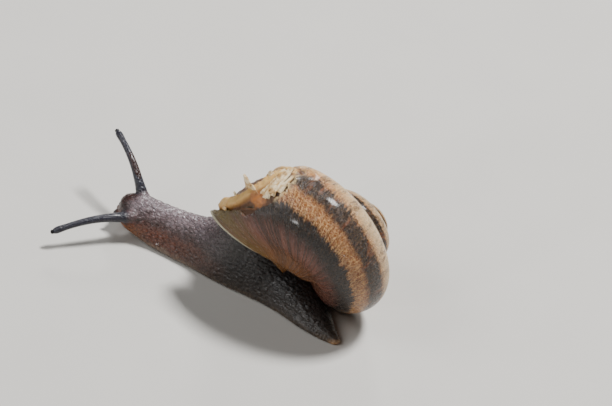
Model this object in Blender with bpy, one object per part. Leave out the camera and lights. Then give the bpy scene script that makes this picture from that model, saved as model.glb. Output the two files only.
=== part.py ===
"""A garden snail crawling to -X, life size: +Y is its right side, +Z is up, the sole lies on z = 0.

The shell is one self-similar spiral: every whorl is the same tube section, turned about the coiling
axis and scaled by WHORL_GROWTH for each turn. The body is one loft along a bent centre line, parted
into head, neck, trunk, tail and tail tip, and hollowed where the shell rests in it.
"""

import bmesh
import bpy
import numpy as np
from mathutils import Euler, Vector

MM = 0.001
GAP = 0.3 * MM  # clearance between neighbouring pieces

# Places are measured from the tail tip, and this empty then sets the snail on the middle of its box.
TO_ORIGIN = Vector((23.52, -1.30, 0.0)) * MM

# Shell: the section of the last whorl is an ellipse, in half-widths of the tube.
TUBE = 9.48 * MM  # half-width of the last whorl's tube at the lip's zero angle
WHORL_GROWTH = 2.12
AXIS_DISTANCE = 1.026
TUBE_DROP = -2.25
TUBE_HEIGHT = 1.04
TUBE_TILT = np.radians(-5.7)
APEX = Vector((-6.10, 19.80, 12.60)) * MM
SHELL_TURN = Euler(np.radians((80.6, 28.6, 163.4)))
SPIRE_TURNS = 3
ROWS_PER_TURN = 30
ROW_STEP = 2 * np.pi / ROWS_PER_TURN
APEX_BLUNTNESS = 2.6 * MM
SHOULDER_FLATNESS = 0.6  # how far the tube, just under the upper suture, leaves the ellipse
UPPER_SUTURE = np.radians(101.2)
LOWER_SUTURE = np.radians(-12.7)
SPIRE_COLUMNS = 8
BASE_COLUMNS = 12
BASE_END = np.radians(-124)
AXIS_HEIGHT = -2.85  # where the closed base meets the coiling axis
UMBILICUS_FILL = 0.35  # how much lower that is half a turn behind the lip
LIP_ANGLE = np.radians(-25.4)
LIP_SLANT = np.radians(-66)  # how far the lip lags behind at the base
LIP_WALL, PILLAR_WALL = 0.85 * MM, 1.4 * MM
MOUTH_DEPTH = np.radians(92)

# The mantle, as (degrees back from the lip, mm in from its side), from the middle outward.
MANTLE_FRONT = [(2.0, 2.4), (1.0, 1.5), (2.0, 0.8)]
MANTLE_SIDE = [(8.0, 0.55), (20.0, 0.6), (34.0, 0.7)]
MANTLE_ROOM = 2.0  # degrees of clearance between mantle and body

# The shell's broken edge, and the crest of the thin new shell that closes the gap. Both are points
# of tube angle and angle along the spiral.
BREAK = np.radians([
    (-50, -97), (-42, -101), (-19, -107), (-2, -106), (12, -102), (22, -103), (40, -84),
    (58, -60), (76, -34)])
CREST = np.radians([
    (-40, -50), (-34, -62), (-34, -74), (-24, -84), (-13, -87), (-2, -89), (10, -91),
    (20, -91), (30, -79), (34, -68), (44, -52)])
CREST_DEPTH, CREST_WIDTH = 0.2 * MM, 1.5 * MM
CREST_RADIUS = 15 * MM  # from the coiling axis, to turn angles there into lengths
REPAIR_UNDER = np.radians(9)  # how far the new shell reaches under the broken edge
REPAIR_FRONT = np.radians([(-44, 8), (-34, 19), (60, 12)])  # tube angle, and how far behind the lip it ends
REPAIR_SINK = 1.4 * MM
REPAIR_THICKNESS = 0.65 * MM
REPAIR_STEPS = (12, 16)
FLAKES = [  # place along the spiral and round the tube, length and width in degrees, height in mm
    (-80, -24, 7, 12, 1.0),
    (-88, -5, 6, 9, 0.7),
    (-91, 6, 6, 12, 1.0),
]
FLAKE_CLEARANCE = 0.35 * MM

# Body stations from tail tip to snout, in mm: place along X, centre line's Y, half-width of the
# sole, half-width of the back, height of the back, height of the underside.
STATIONS = np.array([
    (0.0, 0.0, 0.7, 0.45, 0.9, 0.0),
    (-3.0, 0.55, 2.1, 1.5, 1.9, 0.0),
    (-6.5, 1.60, 3.4, 2.5, 3.0, 0.0),
    (-11.0, 2.90, 4.3, 3.6, 5.2, 0.0),
    (-14.5, 3.40, 4.8, 4.2, 6.0, 0.0),
    (-17.5, 3.45, 5.2, 4.8, 11.5, 0.0),
    (-21.5, 3.15, 5.5, 5.0, 14.5, 0.0),
    (-24.5, 2.75, 5.4, 4.7, 11.0, 0.0),
    (-27.0, 2.35, 5.1, 4.2, 7.9, 0.0),
    (-30.0, 1.70, 4.6, 3.6, 6.3, 0.0),
    (-34.0, 0.95, 4.2, 3.2, 5.9, 0.0),
    (-37.0, 0.10, 3.7, 3.1, 6.1, 0.25),
    (-39.3, -0.70, 3.1, 3.1, 6.5, 0.9),
    (-40.9, -1.25, 2.75, 2.75, 6.2, 1.3),
    (-42.1, -1.65, 2.1, 2.1, 5.6, 1.8),
    (-42.8, -1.90, 1.1, 1.1, 4.7, 2.5),
])
FRINGE = 1.1 * MM  # height of the foot's flat edge
SOLE_FLAT, FRINGE_TOP = 0.88, 0.94  # shares of the sole's half-width: its flat, and the fringe's top
PARTS = {  # name: (from, to) along X, in mm
    "tail_tip": (0.0, -5.5),
    "tail": (-5.5, -13.0),
    "trunk": (-13.0, -27.0),
    "neck": (-27.0, -36.0),
    "head": (-36.0, -42.8),
}
RINGS_PER_MM = 0.9

# Tentacles: base, the way they point and, for the long ones, the length and the bend, in mm.
EYE_STALKS = {
    "left": (Vector((-39.4, -3.20, 4.0)), Vector((-0.54, -0.84, -0.075)), 13.0, 0.9),
    "right": (Vector((-40.3, 0.65, 4.9)), Vector((-0.79, 0.35, 0.505)), 11.8, 1.2),
}
STALK_RADII = (0.95, 0.74, 0.60, 0.52, 0.46, 0.42, 0.42, 0.56, 0.42)  # root to tip, in mm
STALK_CLEAR = 0.6  # mm from the base point to where the skin begins
KNOB_STEP = 1.1  # mm between the knob's rings
EYE_RADIUS = 0.36 * MM
EYE_CLEAR = 0.03 * MM
FEELERS = {
    "left": (Vector((-41.3, -2.75, 3.1)), Vector((-0.78, -0.50, -0.38))),
    "right": (Vector((-41.9, -0.55, 3.1)), Vector((-0.90, 0.25, -0.38))),
}
FEELER_LENGTH = 2.6
FEELER_RADII = (0.55, 0.34, 0.42, 0.25)  # root, waist, knob and tip
FEELER_PLACES = (0, 0.5, 0.85, 1)
FEELER_SAG, FEELER_CLEAR = 0.15, 0.3
STALK_RINGS = 9
SOCKET_DEPTH = 4 * MM
SOCKET_GAP = 0.12  # mm


def material(name, colour, roughness):
    """A Principled material from an sRGB hex colour."""
    made = bpy.data.materials.new(name)
    made.use_nodes = True
    shader = made.node_tree.nodes["Principled BSDF"]
    srgb = [int(colour[i:i + 2], 16) / 255 for i in (1, 3, 5)]
    linear = [c / 12.92 if c <= 0.04045 else ((c + 0.055) / 1.055) ** 2.4 for c in srgb]
    shader.inputs["Base Color"].default_value = (*linear, 1)
    shader.inputs["Roughness"].default_value = roughness
    shader.inputs["Metallic"].default_value = 0
    return made


def start_scene():
    """Clears the startup objects and makes the two collections and the empty that carries the snail."""
    for found in list(bpy.data.objects):
        bpy.data.objects.remove(found)
    snail = bpy.data.collections.new("land_snail")
    cutters = bpy.data.collections.new("cutters")
    for collection in (snail, cutters):
        bpy.context.scene.collection.children.link(collection)
    carrier = bpy.data.objects.new("snail_place", None)
    carrier.location = TO_ORIGIN
    snail.objects.link(carrier)
    return snail, cutters, carrier


def add_mesh(name, points, faces, collection, carrier, finish=None):
    """One object from points in metres, with its faces turned outward."""
    mesh = bpy.data.meshes.new(name)
    mesh.from_pydata([tuple(p) for p in points], [], faces)
    shape = bmesh.new()
    shape.from_mesh(mesh)
    loose = [corner for corner in shape.verts if not corner.link_faces]
    bmesh.ops.delete(shape, geom=loose, context="VERTS")
    bmesh.ops.recalc_face_normals(shape, faces=shape.faces)
    shape.to_mesh(mesh)
    shape.free()
    made = bpy.data.objects.new(name, mesh)
    if finish:
        mesh.materials.append(finish)
    made.parent = carrier
    collection.objects.link(made)
    return made


# Shell

def section(phi):
    """Radius from the axis and height of the tube's surface at tube angle phi, for a scale of 1."""
    phi = np.asarray(phi, dtype=float)
    outline = ellipse(phi)
    share = np.clip((UPPER_SUTURE - phi) / (UPPER_SUTURE - LOWER_SUTURE), 0, 1)[..., None]
    upper, lower = ellipse(np.array(UPPER_SUTURE)), ellipse(np.array(LOWER_SUTURE))
    chord = upper + (lower - upper) * share
    return outline + (chord - outline) * SHOULDER_FLATNESS * (1 - share) ** 3


def ellipse(phi):
    across, along = np.cos(phi), TUBE_HEIGHT * np.sin(phi)
    radius = AXIS_DISTANCE + across * np.cos(TUBE_TILT) - along * np.sin(TUBE_TILT)
    height = TUBE_DROP + across * np.sin(TUBE_TILT) + along * np.cos(TUBE_TILT)
    return np.stack([radius, height], -1)


def columns():
    """Section points from the upper suture over the periphery and the base to the axis."""
    spire = np.linspace(UPPER_SUTURE, LOWER_SUTURE, SPIRE_COLUMNS + 1)
    base = np.linspace(LOWER_SUTURE, BASE_END, BASE_COLUMNS + 1)[1:]
    phi = np.concatenate([spire, base])
    outline = section(phi)
    tip = [(outline[-1, 0] * 0.4, AXIS_HEIGHT - 0.02), (0.0, AXIS_HEIGHT)]
    return phi, np.concatenate([outline, tip])


PHI, SECTION = columns()
LAST = len(SECTION) - 1
CENTRE = np.array([AXIS_DISTANCE, TUBE_DROP])


def spiral(theta, profile, growth=0.0):
    """A section point (or points) carried to spiral angle theta, pushed outward by growth."""
    scale = TUBE * WHORL_GROWTH ** (theta / (2 * np.pi))
    outward = profile - CENTRE
    outward = outward / np.maximum(np.linalg.norm(outward, axis=-1, keepdims=True), 1e-9)
    placed = profile * np.expand_dims(scale, -1) + outward * growth
    radius, height = placed[..., 0], placed[..., 1]
    return np.stack([radius * np.cos(theta), -radius * np.sin(theta), height], -1)


def to_snail(points):
    """From the shell's own axes, apex at zero, to the snail's, with the apex made blunt."""
    height = -np.hypot(points[:, 2], APEX_BLUNTNESS)
    turn = np.array(SHELL_TURN.to_matrix())
    return np.column_stack([points[:, :2], height]) @ turn.T + np.array(APEX)


def profile(k, blend):
    """A section point. Near the axis it lies lower inside the last turn, so the umbilicus is closed."""
    fill = UMBILICUS_FILL * np.sin(np.pi * blend) if k >= LAST - 1 else 0
    return SECTION[k] - (0, fill)


def lip_lag(phi):
    """How far the lip at this tube angle lags behind its foremost angle."""
    fall = np.clip((UPPER_SUTURE - phi) / (UPPER_SUTURE - BASE_END), 0, 1)
    return LIP_SLANT * fall ** 2.5


def rows_missing():
    """Rows broken off the lip in each gap between two columns, as whole numbers."""
    middle = (PHI[:-1] + PHI[1:]) / 2
    depth = (LIP_ANGLE + lip_lag(middle) - np.interp(middle, *BREAK.T)) / ROW_STEP
    broken = (middle > BREAK[0, 0]) & (middle < BREAK[-1, 0])
    return [int(n) for n in np.where(broken, np.maximum(1, np.round(depth)), 0)] + [0, 0]


def shell_surface(missing=None, growth=0.0, past_lip=0.0):
    """The outer surface as rows from apex to lip, and the mouth's rim.

    A row's upper suture point is the same vertex as the lower suture point one turn earlier.
    """
    missing = missing or [0] * LAST
    lag = np.concatenate([lip_lag(PHI), [LIP_SLANT, LIP_SLANT]])
    rows = SPIRE_TURNS * ROWS_PER_TURN + ROWS_PER_TURN + 1
    first_full = rows - 1 - ROWS_PER_TURN
    theta = LIP_ANGLE + past_lip + ROW_STEP * (np.arange(rows) - (rows - 1))
    blend = np.clip((np.arange(rows) - first_full) / ROWS_PER_TURN, 0, 1)
    blend = blend * blend * (3 - 2 * blend)
    points, ids = [], []
    for row in range(rows):
        count = LAST + 1 if row >= first_full else SPIRE_COLUMNS + 1
        line = []
        for k in range(count):
            if k == 0 and row >= ROWS_PER_TURN:
                line.append(ids[row - ROWS_PER_TURN][SPIRE_COLUMNS])
                continue
            line.append(len(points))
            place = profile(k, blend[row])
            points.append(spiral(theta[row] + lag[k] * blend[row], place, growth))
        ids.append(line)
    faces = []
    for row in range(rows - 1):
        here, after = ids[row], ids[row + 1]
        for k in range(min(len(here), len(after)) - 1):
            if row < rows - 1 - missing[k]:
                faces.append((here[k], here[k + 1], after[k + 1], after[k]))
    # The apex is closed by a fan round the open edge of the first turn.
    edge = [ids[row][0] for row in range(ROWS_PER_TURN + 1)] + ids[0][SPIRE_COLUMNS - 1:0:-1]
    centre = len(points)
    points.append(np.mean([points[i] for i in edge], axis=0))
    faces += [(centre, a, b) for a, b in zip(edge, edge[1:] + edge[:1])]
    return points, faces, mouth_rim(ids, theta, lag, blend, missing, first_full)


def mouth_rim(ids, theta, lag, blend, missing, first_full):
    """The mouth's edge as (vertex, its angle, its section point, the tube's angle, the lip's angle).

    It follows the lip, in and out of the break, then the pillar on the axis, then the whorl before.
    """
    last = len(theta) - 1
    path = [(last - missing[0], 0)]
    for k in range(LAST):
        row, target = path[-1][0], last - missing[k]
        while row != target:
            row += 1 if target > row else -1
            path.append((row, k))
        path.append((row, k + 1))
    rim = [(ids[row][k], theta[row] + lag[k] * blend[row], profile(k, blend[row]),
            theta[row] + lag[k] * blend[row], theta[last] + lag[k]) for row, k in path]
    pillar = list(range(last - 1, first_full - 1, -1))
    for n, row in enumerate(pillar):
        tube_theta = theta[last] + lag[LAST] * (1 - (n + 1) / len(pillar))
        rim.append((ids[row][LAST], theta[row], profile(LAST, blend[row]), tube_theta, tube_theta))
    for k in range(LAST - 1, SPIRE_COLUMNS, -1):
        rim.append((ids[first_full][k], theta[first_full], SECTION[k], theta[last], theta[last]))
    return rim


def mouth_loop(rim, back, inset):
    """The rim moved back into the whorl by an angle from the lip, and in from the surface.

    Points on the break already lie that far back, so they move only a little.
    """
    _, theta, profile, tube_theta, lip_theta = (np.array(column) for column in zip(*rim))
    behind = np.maximum(back, lip_theta - tube_theta + 0.08 * back) - (lip_theta - tube_theta)
    surface = spiral(theta - behind, profile)
    middle = spiral(tube_theta - behind, CENTRE[None].repeat(len(theta), 0))
    inward = middle - surface
    reach = np.linalg.norm(inward, axis=1, keepdims=True)
    return surface + inward * np.minimum(inset / reach, 0.97)


def bridge(faces, loop_a, loop_b):
    for i in range(len(loop_a)):
        j = (i + 1) % len(loop_a)
        faces.append((loop_a[i], loop_a[j], loop_b[j], loop_b[i]))


def add_loops(points, faces, start, loops, close=True):
    """Joins loops of points in turn, from the vertex loop start, and closes the last with a fan."""
    before = start
    for loop in loops:
        ids = list(range(len(points), len(points) + len(loop)))
        points.extend(loop)
        bridge(faces, before, ids)
        before = ids
    if close:
        close_with_fan(points, faces, before)
    return before


def close_with_fan(points, faces, ring, flip=False):
    """Closes a ring of vertices with a fan to their middle."""
    centre = len(points)
    points.append(np.mean([points[i] for i in ring], axis=0))
    for a, b in zip(ring, ring[1:] + ring[:1]):
        faces.append((centre, b, a) if flip else (centre, a, b))


def build_shell(snail, carrier, finish):
    points, faces, rim = shell_surface(rows_missing())
    near_axis = np.array([corner[2][0] for corner in rim]) < SECTION[LAST - 2, 0] / 2
    wall = np.where(near_axis, PILLAR_WALL, LIP_WALL)[:, None]
    loops = [mouth_loop(rim, back, wall) for back in np.linspace(0, MOUTH_DEPTH, 7)]
    add_loops(points, faces, [corner[0] for corner in rim], loops)
    return add_mesh("shell", to_snail(np.array(points)), faces, snail, carrier, finish)


def mantle_side(rim):
    """How deep the mantle's side lies below the shell's surface, at each corner of the rim."""
    phi = np.append(PHI, np.full(len(rim) - len(PHI), BASE_END))
    margin = REPAIR_UNDER + np.radians(6)
    under_break = (phi > BREAK[0, 0] - margin) & (phi < BREAK[-1, 0] + margin)
    near_pillar = np.array([corner[2][0] for corner in rim]) < 0.6
    sunk = REPAIR_SINK - LIP_WALL + REPAIR_THICKNESS
    return (LIP_WALL + GAP + np.where(under_break, sunk, 0)
            + np.where(near_pillar, 7 * GAP, 0))[:, None]


def build_shell_cutter(cutters, carrier):
    """The shell and the mantle's front as one block, one gap larger, that hollows the body."""
    past = np.radians(2.0)
    points, faces, rim = shell_surface(None, GAP, past)
    side = mantle_side(rim)
    loops = [mouth_loop(rim, past + np.radians(back - MANTLE_ROOM), side + depth * MM)
             for back, depth in reversed(MANTLE_FRONT)]
    add_loops(points, faces, [corner[0] for corner in rim], loops)
    made = add_mesh("shell_room", to_snail(np.array(points)), faces, cutters, carrier)
    made.hide_render = True
    made.display_type = "WIRE"
    return made


def build_mantle(snail, carrier, finish):
    """The mantle's thick edge, which fills the mouth of the shell."""
    _, _, rim = shell_surface()
    side = mantle_side(rim)
    loops = [mouth_loop(rim, np.radians(back), side + depth * MM)
             for back, depth in MANTLE_FRONT + MANTLE_SIDE]
    points, faces = list(loops[0]), []
    start = list(range(len(points)))
    add_loops(points, faces, start, loops[1:])
    close_with_fan(points, faces, start, flip=True)
    return add_mesh("mantle", to_snail(np.array(points)), faces, snail, carrier, finish)


def shell_plate(name, theta_edges, phi_edges, sink, thick, snail, carrier, finish, steps):
    """A curved plate that follows the shell: theta_edges gives its two edges for each tube angle,
    and sink its outer face's depth at a place."""
    rows, cols = steps
    points = []
    for layer in (0, 1):
        for j in range(cols + 1):
            phi = phi_edges[0] + (phi_edges[1] - phi_edges[0]) * j / cols
            start, end = theta_edges(phi)
            for i in range(rows + 1):
                share = i / rows
                theta = start + (end - start) * share
                points.append(spiral(theta, section(phi), -sink(theta, phi) - layer * thick))
    count = (rows + 1) * (cols + 1)

    def at(layer, i, j):
        return layer * count + j * (rows + 1) + i

    faces = []
    for j in range(cols):
        for i in range(rows):
            for layer in (0, 1):
                faces.append((at(layer, i, j), at(layer, i + 1, j),
                              at(layer, i + 1, j + 1), at(layer, i, j + 1)))
    for i in range(rows):
        for j in (0, cols):
            faces.append((at(0, i, j), at(0, i + 1, j), at(1, i + 1, j), at(1, i, j)))
    for j in range(cols):
        for i in (0, rows):
            faces.append((at(0, i, j), at(0, i, j + 1), at(1, i, j + 1), at(1, i, j)))
    return add_mesh(name, to_snail(np.array(points)), faces, snail, carrier, finish)


def repair_depth(theta, phi):
    """How deep the new shell lies: low in the trough and at the front, and nearly flush at its crest."""
    places = np.linspace(0, len(CREST) - 1, 8 * len(CREST))
    crest_phi, crest_theta = (np.interp(places, np.arange(len(CREST)), c) for c in CREST.T)
    away = np.hypot((crest_phi - phi) * TUBE, (crest_theta - theta) * CREST_RADIUS).min()
    share = min(away / CREST_WIDTH, 1)
    return CREST_DEPTH + (REPAIR_SINK - CREST_DEPTH) * share * share * (3 - 2 * share)


def build_repair(snail, carrier, finish):
    """The new shell grown in the break: a plate from under the broken edge towards the lip."""
    def edges(phi):
        front = LIP_ANGLE + lip_lag(phi) - np.interp(phi, *REPAIR_FRONT.T)
        return min(np.interp(phi, *BREAK.T), front) - REPAIR_UNDER, front

    shell_plate("shell_repair", edges, (BREAK[0, 0] - REPAIR_UNDER, BREAK[-1, 0] + REPAIR_UNDER),
                repair_depth, REPAIR_THICKNESS, snail, carrier, finish, REPAIR_STEPS)


def build_flakes(snail, carrier, finish):
    """Chips of the old shell that still stand on the crest of the new one."""
    for number, (theta, phi, length, width, height) in enumerate(FLAKES, 1):
        low, high = np.radians(phi - width / 2), np.radians(phi + width / 2)

        def edges(angle, low=low, high=high, theta=theta, length=length):
            point = 1 - 0.6 * abs(2 * (angle - low) / (high - low) - 1)
            return np.radians(theta - 0.3 * length), np.radians(theta + 0.5 * length * point)

        def top(theta, phi, height=height):
            return repair_depth(theta, phi) - FLAKE_CLEARANCE - height * MM

        shell_plate(f"shell_flake_{number}", edges, (low, high), top, height * MM, snail, carrier,
                    finish, (3, 4))


# Body

def smooth(x, xs, ys):
    """A cubic through the given values, with slopes that never overshoot."""
    order = np.argsort(xs)
    xs, ys = xs[order], ys[order]
    step = np.diff(xs)
    rise = np.diff(ys) / step
    slope = np.zeros(len(xs))
    same = rise[:-1] * rise[1:] > 0
    slope[1:-1][same] = 2 * rise[:-1][same] * rise[1:][same] / (rise[:-1] + rise[1:])[same]
    slope[0], slope[-1] = rise[0], rise[-1]
    i = int(np.clip(np.searchsorted(xs, x) - 1, 0, len(step) - 1))
    t = (x - xs[i]) / step[i]
    h = step[i]
    return ((2 * t**3 - 3 * t**2 + 1) * ys[i] + (t**3 - 2 * t**2 + t) * h * slope[i]
            + (-2 * t**3 + 3 * t**2) * ys[i + 1] + (t**3 - t**2) * h * slope[i + 1])


def centre_line(x):
    return smooth(x, STATIONS[:, 0], STATIONS[:, 1])


def body_ring(x):
    """One cross-section of the body at x (mm), square to its centre line, flat below."""
    sole, back, height, under = (smooth(x, STATIONS[:, 0], STATIONS[:, c]) for c in (2, 3, 4, 5))
    bend = (centre_line(x + 0.25) - centre_line(x - 0.25)) / 0.5
    side = Vector((-bend, 1.0, 0.0)).normalized()
    fringe = min(FRINGE / MM, 0.45 * (height - under))
    arc = np.radians(np.linspace(14, 90, 6))
    half = [(SOLE_FLAT * sole, under), (sole, under + 0.45 * fringe),
            (FRINGE_TOP * sole, under + fringe)]
    half += [(back * np.cos(a) ** 0.8, under + fringe + (height - under - fringe) * np.sin(a))
             for a in arc[:-1]]
    outline = half + [(0.0, height)] + [(-across, up) for across, up in reversed(half)]
    outline.append((0.0, under))
    middle = Vector((x, centre_line(x), 0.0))
    return [(middle + side * across + Vector((0, 0, up))) * MM for across, up in outline]


def build_body(snail, carrier, finish, room):
    """The body's lengths, each a loft with flat ends, and cut where the shell rests in it."""
    for name, (start, end) in PARTS.items():
        start -= GAP / MM / 2 if start else 0
        end += GAP / MM / 2 if name != "head" else 0
        count = max(4, round(abs(end - start) * RINGS_PER_MM)) + 1
        points, faces = [], []
        rings = [body_ring(x) for x in np.linspace(start, end, count)]
        ids = list(range(len(rings[0])))
        points.extend(rings[0])
        last = add_loops(points, faces, ids, rings[1:], close=False)
        faces += [tuple(ids[::-1]), tuple(last)]
        made = add_mesh(name, points, faces, snail, carrier, finish)
        if name in ("tail", "trunk", "neck"):
            cut_with(made, room)


def tube(name, path, radii, snail, carrier, finish):
    """A tapered tube through the path's points, in mm, with filled ends."""
    curve = bpy.data.curves.new(name, "CURVE")
    curve.dimensions = "3D"
    curve.bevel_depth = MM
    curve.bevel_resolution = 3
    curve.use_fill_caps = True
    spline = curve.splines.new("POLY")
    spline.points.add(len(path) - 1)
    for point, place, radius in zip(spline.points, path, radii):
        point.co = (*(place * MM), 1)
        point.radius = radius
    curve.materials.append(finish)
    made = bpy.data.objects.new(name, curve)
    made.parent = carrier
    snail.objects.link(made)
    return made


def socket(name, base, way, radius, cutters, carrier):
    """A short cylinder, one small gap wider than the tentacle, that cuts its root's seat."""
    mesh = bpy.data.meshes.new(name)
    shape = bmesh.new()
    bmesh.ops.create_cone(shape, cap_ends=True, segments=12, radius1=radius, radius2=radius,
                          depth=SOCKET_DEPTH)
    shape.to_mesh(mesh)
    shape.free()
    cutter = bpy.data.objects.new(name, mesh)
    cutter.rotation_euler = way.to_track_quat("Z", "Y").to_euler()
    cutter.location = base * MM + way.normalized() * SOCKET_DEPTH / 2
    cutter.parent = carrier
    cutter.hide_render = True
    cutter.display_type = "WIRE"
    cutters.objects.link(cutter)
    return cutter


def cut_with(body, cutter):
    cut = body.modifiers.new(cutter.name, "BOOLEAN")
    cut.operation = "DIFFERENCE"
    cut.solver = "EXACT"
    cut.object = cutter


def stalk_path(base, way, length, sag, clear):
    """Points from just outside the head to the tip, with a slight bend."""
    way = way.normalized()
    shares = np.linspace(clear / length, 1, STALK_RINGS)
    bend = way.cross(Vector((0, 0, 1))).cross(way).normalized()
    return [base + way * length * s + bend * sag * np.sin(np.pi * s) for s in shares]


def build_tentacles(snail, cutters, carrier, finish, eye_finish):
    head = bpy.data.objects["head"]
    for side, (base, way, *_) in EYE_STALKS.items():
        cut_with(head, socket(f"stalk_seat_{side}", base, way,
                              (STALK_RADII[0] + SOCKET_GAP) * MM, cutters, carrier))
    for side, (base, way) in FEELERS.items():
        cut_with(head, socket(f"feeler_seat_{side}", base, way,
                              (FEELER_RADII[0] + SOCKET_GAP) * MM, cutters, carrier))
    for side, (base, way, length, sag) in EYE_STALKS.items():
        path = stalk_path(base, way, length, sag, STALK_CLEAR)
        tip = (path[-1] - path[-2]).normalized()
        path[-2] = path[-1] - tip * KNOB_STEP
        path[-3] = path[-1] - tip * 2 * KNOB_STEP
        tube(f"upper_tentacle_{side}", path, STALK_RADII, snail, carrier, finish)
        place = path[-1] * MM + tip * (EYE_RADIUS + EYE_CLEAR)
        eye = add_ball(f"eye_{side}", place, EYE_RADIUS, snail, carrier)
        eye.data.materials.append(eye_finish)
    for side, (base, way) in FEELERS.items():
        path = stalk_path(base, way, FEELER_LENGTH, FEELER_SAG, FEELER_CLEAR)
        radii = np.interp(np.linspace(0, 1, STALK_RINGS), FEELER_PLACES, FEELER_RADII)
        tube(f"lower_tentacle_{side}", path, radii, snail, carrier, finish)


def add_ball(name, place, radius, snail, carrier):
    mesh = bpy.data.meshes.new(name)
    shape = bmesh.new()
    bmesh.ops.create_uvsphere(shape, u_segments=12, v_segments=8, radius=radius)
    shape.to_mesh(mesh)
    shape.free()
    ball = bpy.data.objects.new(name, mesh)
    ball.location = place
    ball.parent = carrier
    snail.objects.link(ball)
    return ball


def main():
    snail, cutters, carrier = start_scene()
    banded = material("shell_brown", "#8A5A3C", 0.35)
    tan = material("shell_tan", "#D9B27A", 0.45)
    cream = material("shell_cream", "#EFE3C6", 0.5)
    flesh = material("flesh_brown", "#4E3A34", 0.4)
    mantle = material("mantle_grey", "#6B5B52", 0.4)
    slate = material("tentacle_slate", "#2E2C33", 0.4)
    black = material("eye_black", "#0C0B0D", 0.15)
    build_shell(snail, carrier, banded)
    build_repair(snail, carrier, tan)
    build_flakes(snail, carrier, cream)
    build_mantle(snail, carrier, mantle)
    room = build_shell_cutter(cutters, carrier)
    build_body(snail, carrier, flesh, room)
    build_tentacles(snail, cutters, carrier, slate, black)


main()
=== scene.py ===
# %% [markdown]
# # A garden snail with a mended shell
# This lesson dresses a small museum model of a crawling land snail. The solid model is loaded first
# and stays where it is. Fine pieces are then modelled over it: the shell, the thin new shell grown
# under its broken front edge, the chips left standing there, one skin over all the soft parts, and
# the eyes. Lengths are in metres, and MM turns millimetres into them.

# %% The frame
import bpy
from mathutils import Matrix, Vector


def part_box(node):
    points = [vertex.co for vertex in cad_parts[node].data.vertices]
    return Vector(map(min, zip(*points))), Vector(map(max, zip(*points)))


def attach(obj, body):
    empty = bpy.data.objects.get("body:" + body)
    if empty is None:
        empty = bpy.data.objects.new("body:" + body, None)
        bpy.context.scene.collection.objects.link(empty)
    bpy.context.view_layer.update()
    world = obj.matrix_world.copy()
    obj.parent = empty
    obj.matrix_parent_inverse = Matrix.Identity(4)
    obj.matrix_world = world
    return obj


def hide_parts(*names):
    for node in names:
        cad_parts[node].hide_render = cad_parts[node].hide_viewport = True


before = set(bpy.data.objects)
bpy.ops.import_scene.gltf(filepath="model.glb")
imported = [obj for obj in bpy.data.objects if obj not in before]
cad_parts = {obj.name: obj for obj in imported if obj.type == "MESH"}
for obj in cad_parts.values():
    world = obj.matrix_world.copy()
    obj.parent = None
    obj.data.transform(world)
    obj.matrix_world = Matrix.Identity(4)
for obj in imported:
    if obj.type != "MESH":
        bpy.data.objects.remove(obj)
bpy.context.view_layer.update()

from types import SimpleNamespace

import bmesh
import bpy
import numpy as np
from mathutils import Euler, Matrix, Vector, noise

MM = 0.001

# %% [markdown]
# ## Helpers for picking and placing
# An operator acts on whatever is selected, so each piece starts from nothing selected. The corners
# to work on are then picked in code, and their places read and written as one array. A number can
# be stored on each of them too.

# %% Selection and mesh helpers
def start_clean():
    """Leaves edit mode and deselects everything, so that the next operator meets only its piece."""
    if bpy.context.object and bpy.context.object.mode == "EDIT":
        bpy.ops.object.mode_set(mode="OBJECT")
    bpy.ops.object.select_all(action="DESELECT")


def activate(piece):
    start_clean()
    piece.select_set(True)
    bpy.context.view_layer.objects.active = piece


def named(name):
    """Names the active object, which is the primitive just added."""
    piece = bpy.context.object
    piece.name = piece.data.name = name
    return piece


def corners(piece):
    places = np.zeros(len(piece.data.vertices) * 3)
    piece.data.vertices.foreach_get("co", places)
    return places.reshape(-1, 3)


def move_corners(piece, places):
    piece.data.vertices.foreach_set("co", np.asarray(places, float).ravel())
    piece.data.update()


def apply_modifier(piece, kind, **settings):
    activate(piece)
    made = piece.modifiers.new(kind.title(), kind)
    for name, value in settings.items():
        setattr(made, name, value)
    bpy.ops.object.modifier_apply(modifier=made.name)


def pick_corners(piece, chosen):
    """Enters edit mode with exactly these corners selected."""
    activate(piece)
    bpy.ops.object.mode_set(mode="EDIT")
    bpy.ops.mesh.select_mode(type="VERT")
    bpy.ops.mesh.select_all(action="DESELECT")
    bpy.ops.object.mode_set(mode="OBJECT")
    piece.data.vertices.foreach_set("select", np.asarray(chosen, bool))
    bpy.ops.object.mode_set(mode="EDIT")
    bpy.ops.mesh.select_mode(type="VERT")


def edit(piece, work, chosen=None, **settings):
    """Runs one mesh operator on the chosen corners, or on all of them."""
    pick_corners(piece, np.ones(len(piece.data.vertices)) if chosen is None else chosen)
    work(**settings)
    start_clean()


def store(piece, name, values):
    """Keeps one number for each point under a name, for later steps and for the colours."""
    piece.data.attributes.new(name, "FLOAT", "POINT").data.foreach_set("value", values)


def read(piece, name):
    values = np.zeros(len(piece.data.vertices))
    piece.data.attributes[name].data.foreach_get("value", values)
    return values


def smooth_between(low, high, value):
    """From 0 at low to 1 at high, level at both ends."""
    share = np.clip((value - low) / (high - low), 0, 1)
    return share * share * (3 - 2 * share)


def count(piece):
    piece.data.calc_loop_triangles()
    return f"{piece.name}: {len(piece.data.loop_triangles)} triangles"

# %% [markdown]
# ## The camera
# The view looks down on the snail from its left and behind, a little tipped, with a long lens, so
# that near and far parts keep their size. It is set first and nothing later moves it.

# %% Camera
VIEW_TURN, VIEW_RISE, VIEW_ROLL = np.radians((-58.78, 38.0, -10.0))
VIEW_CENTRE = Vector((9.31, 5.20, 16.54)) * MM
VIEW_DISTANCE = 2.0
LENS = 752  # mm, on a sensor 36 mm wide

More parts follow.
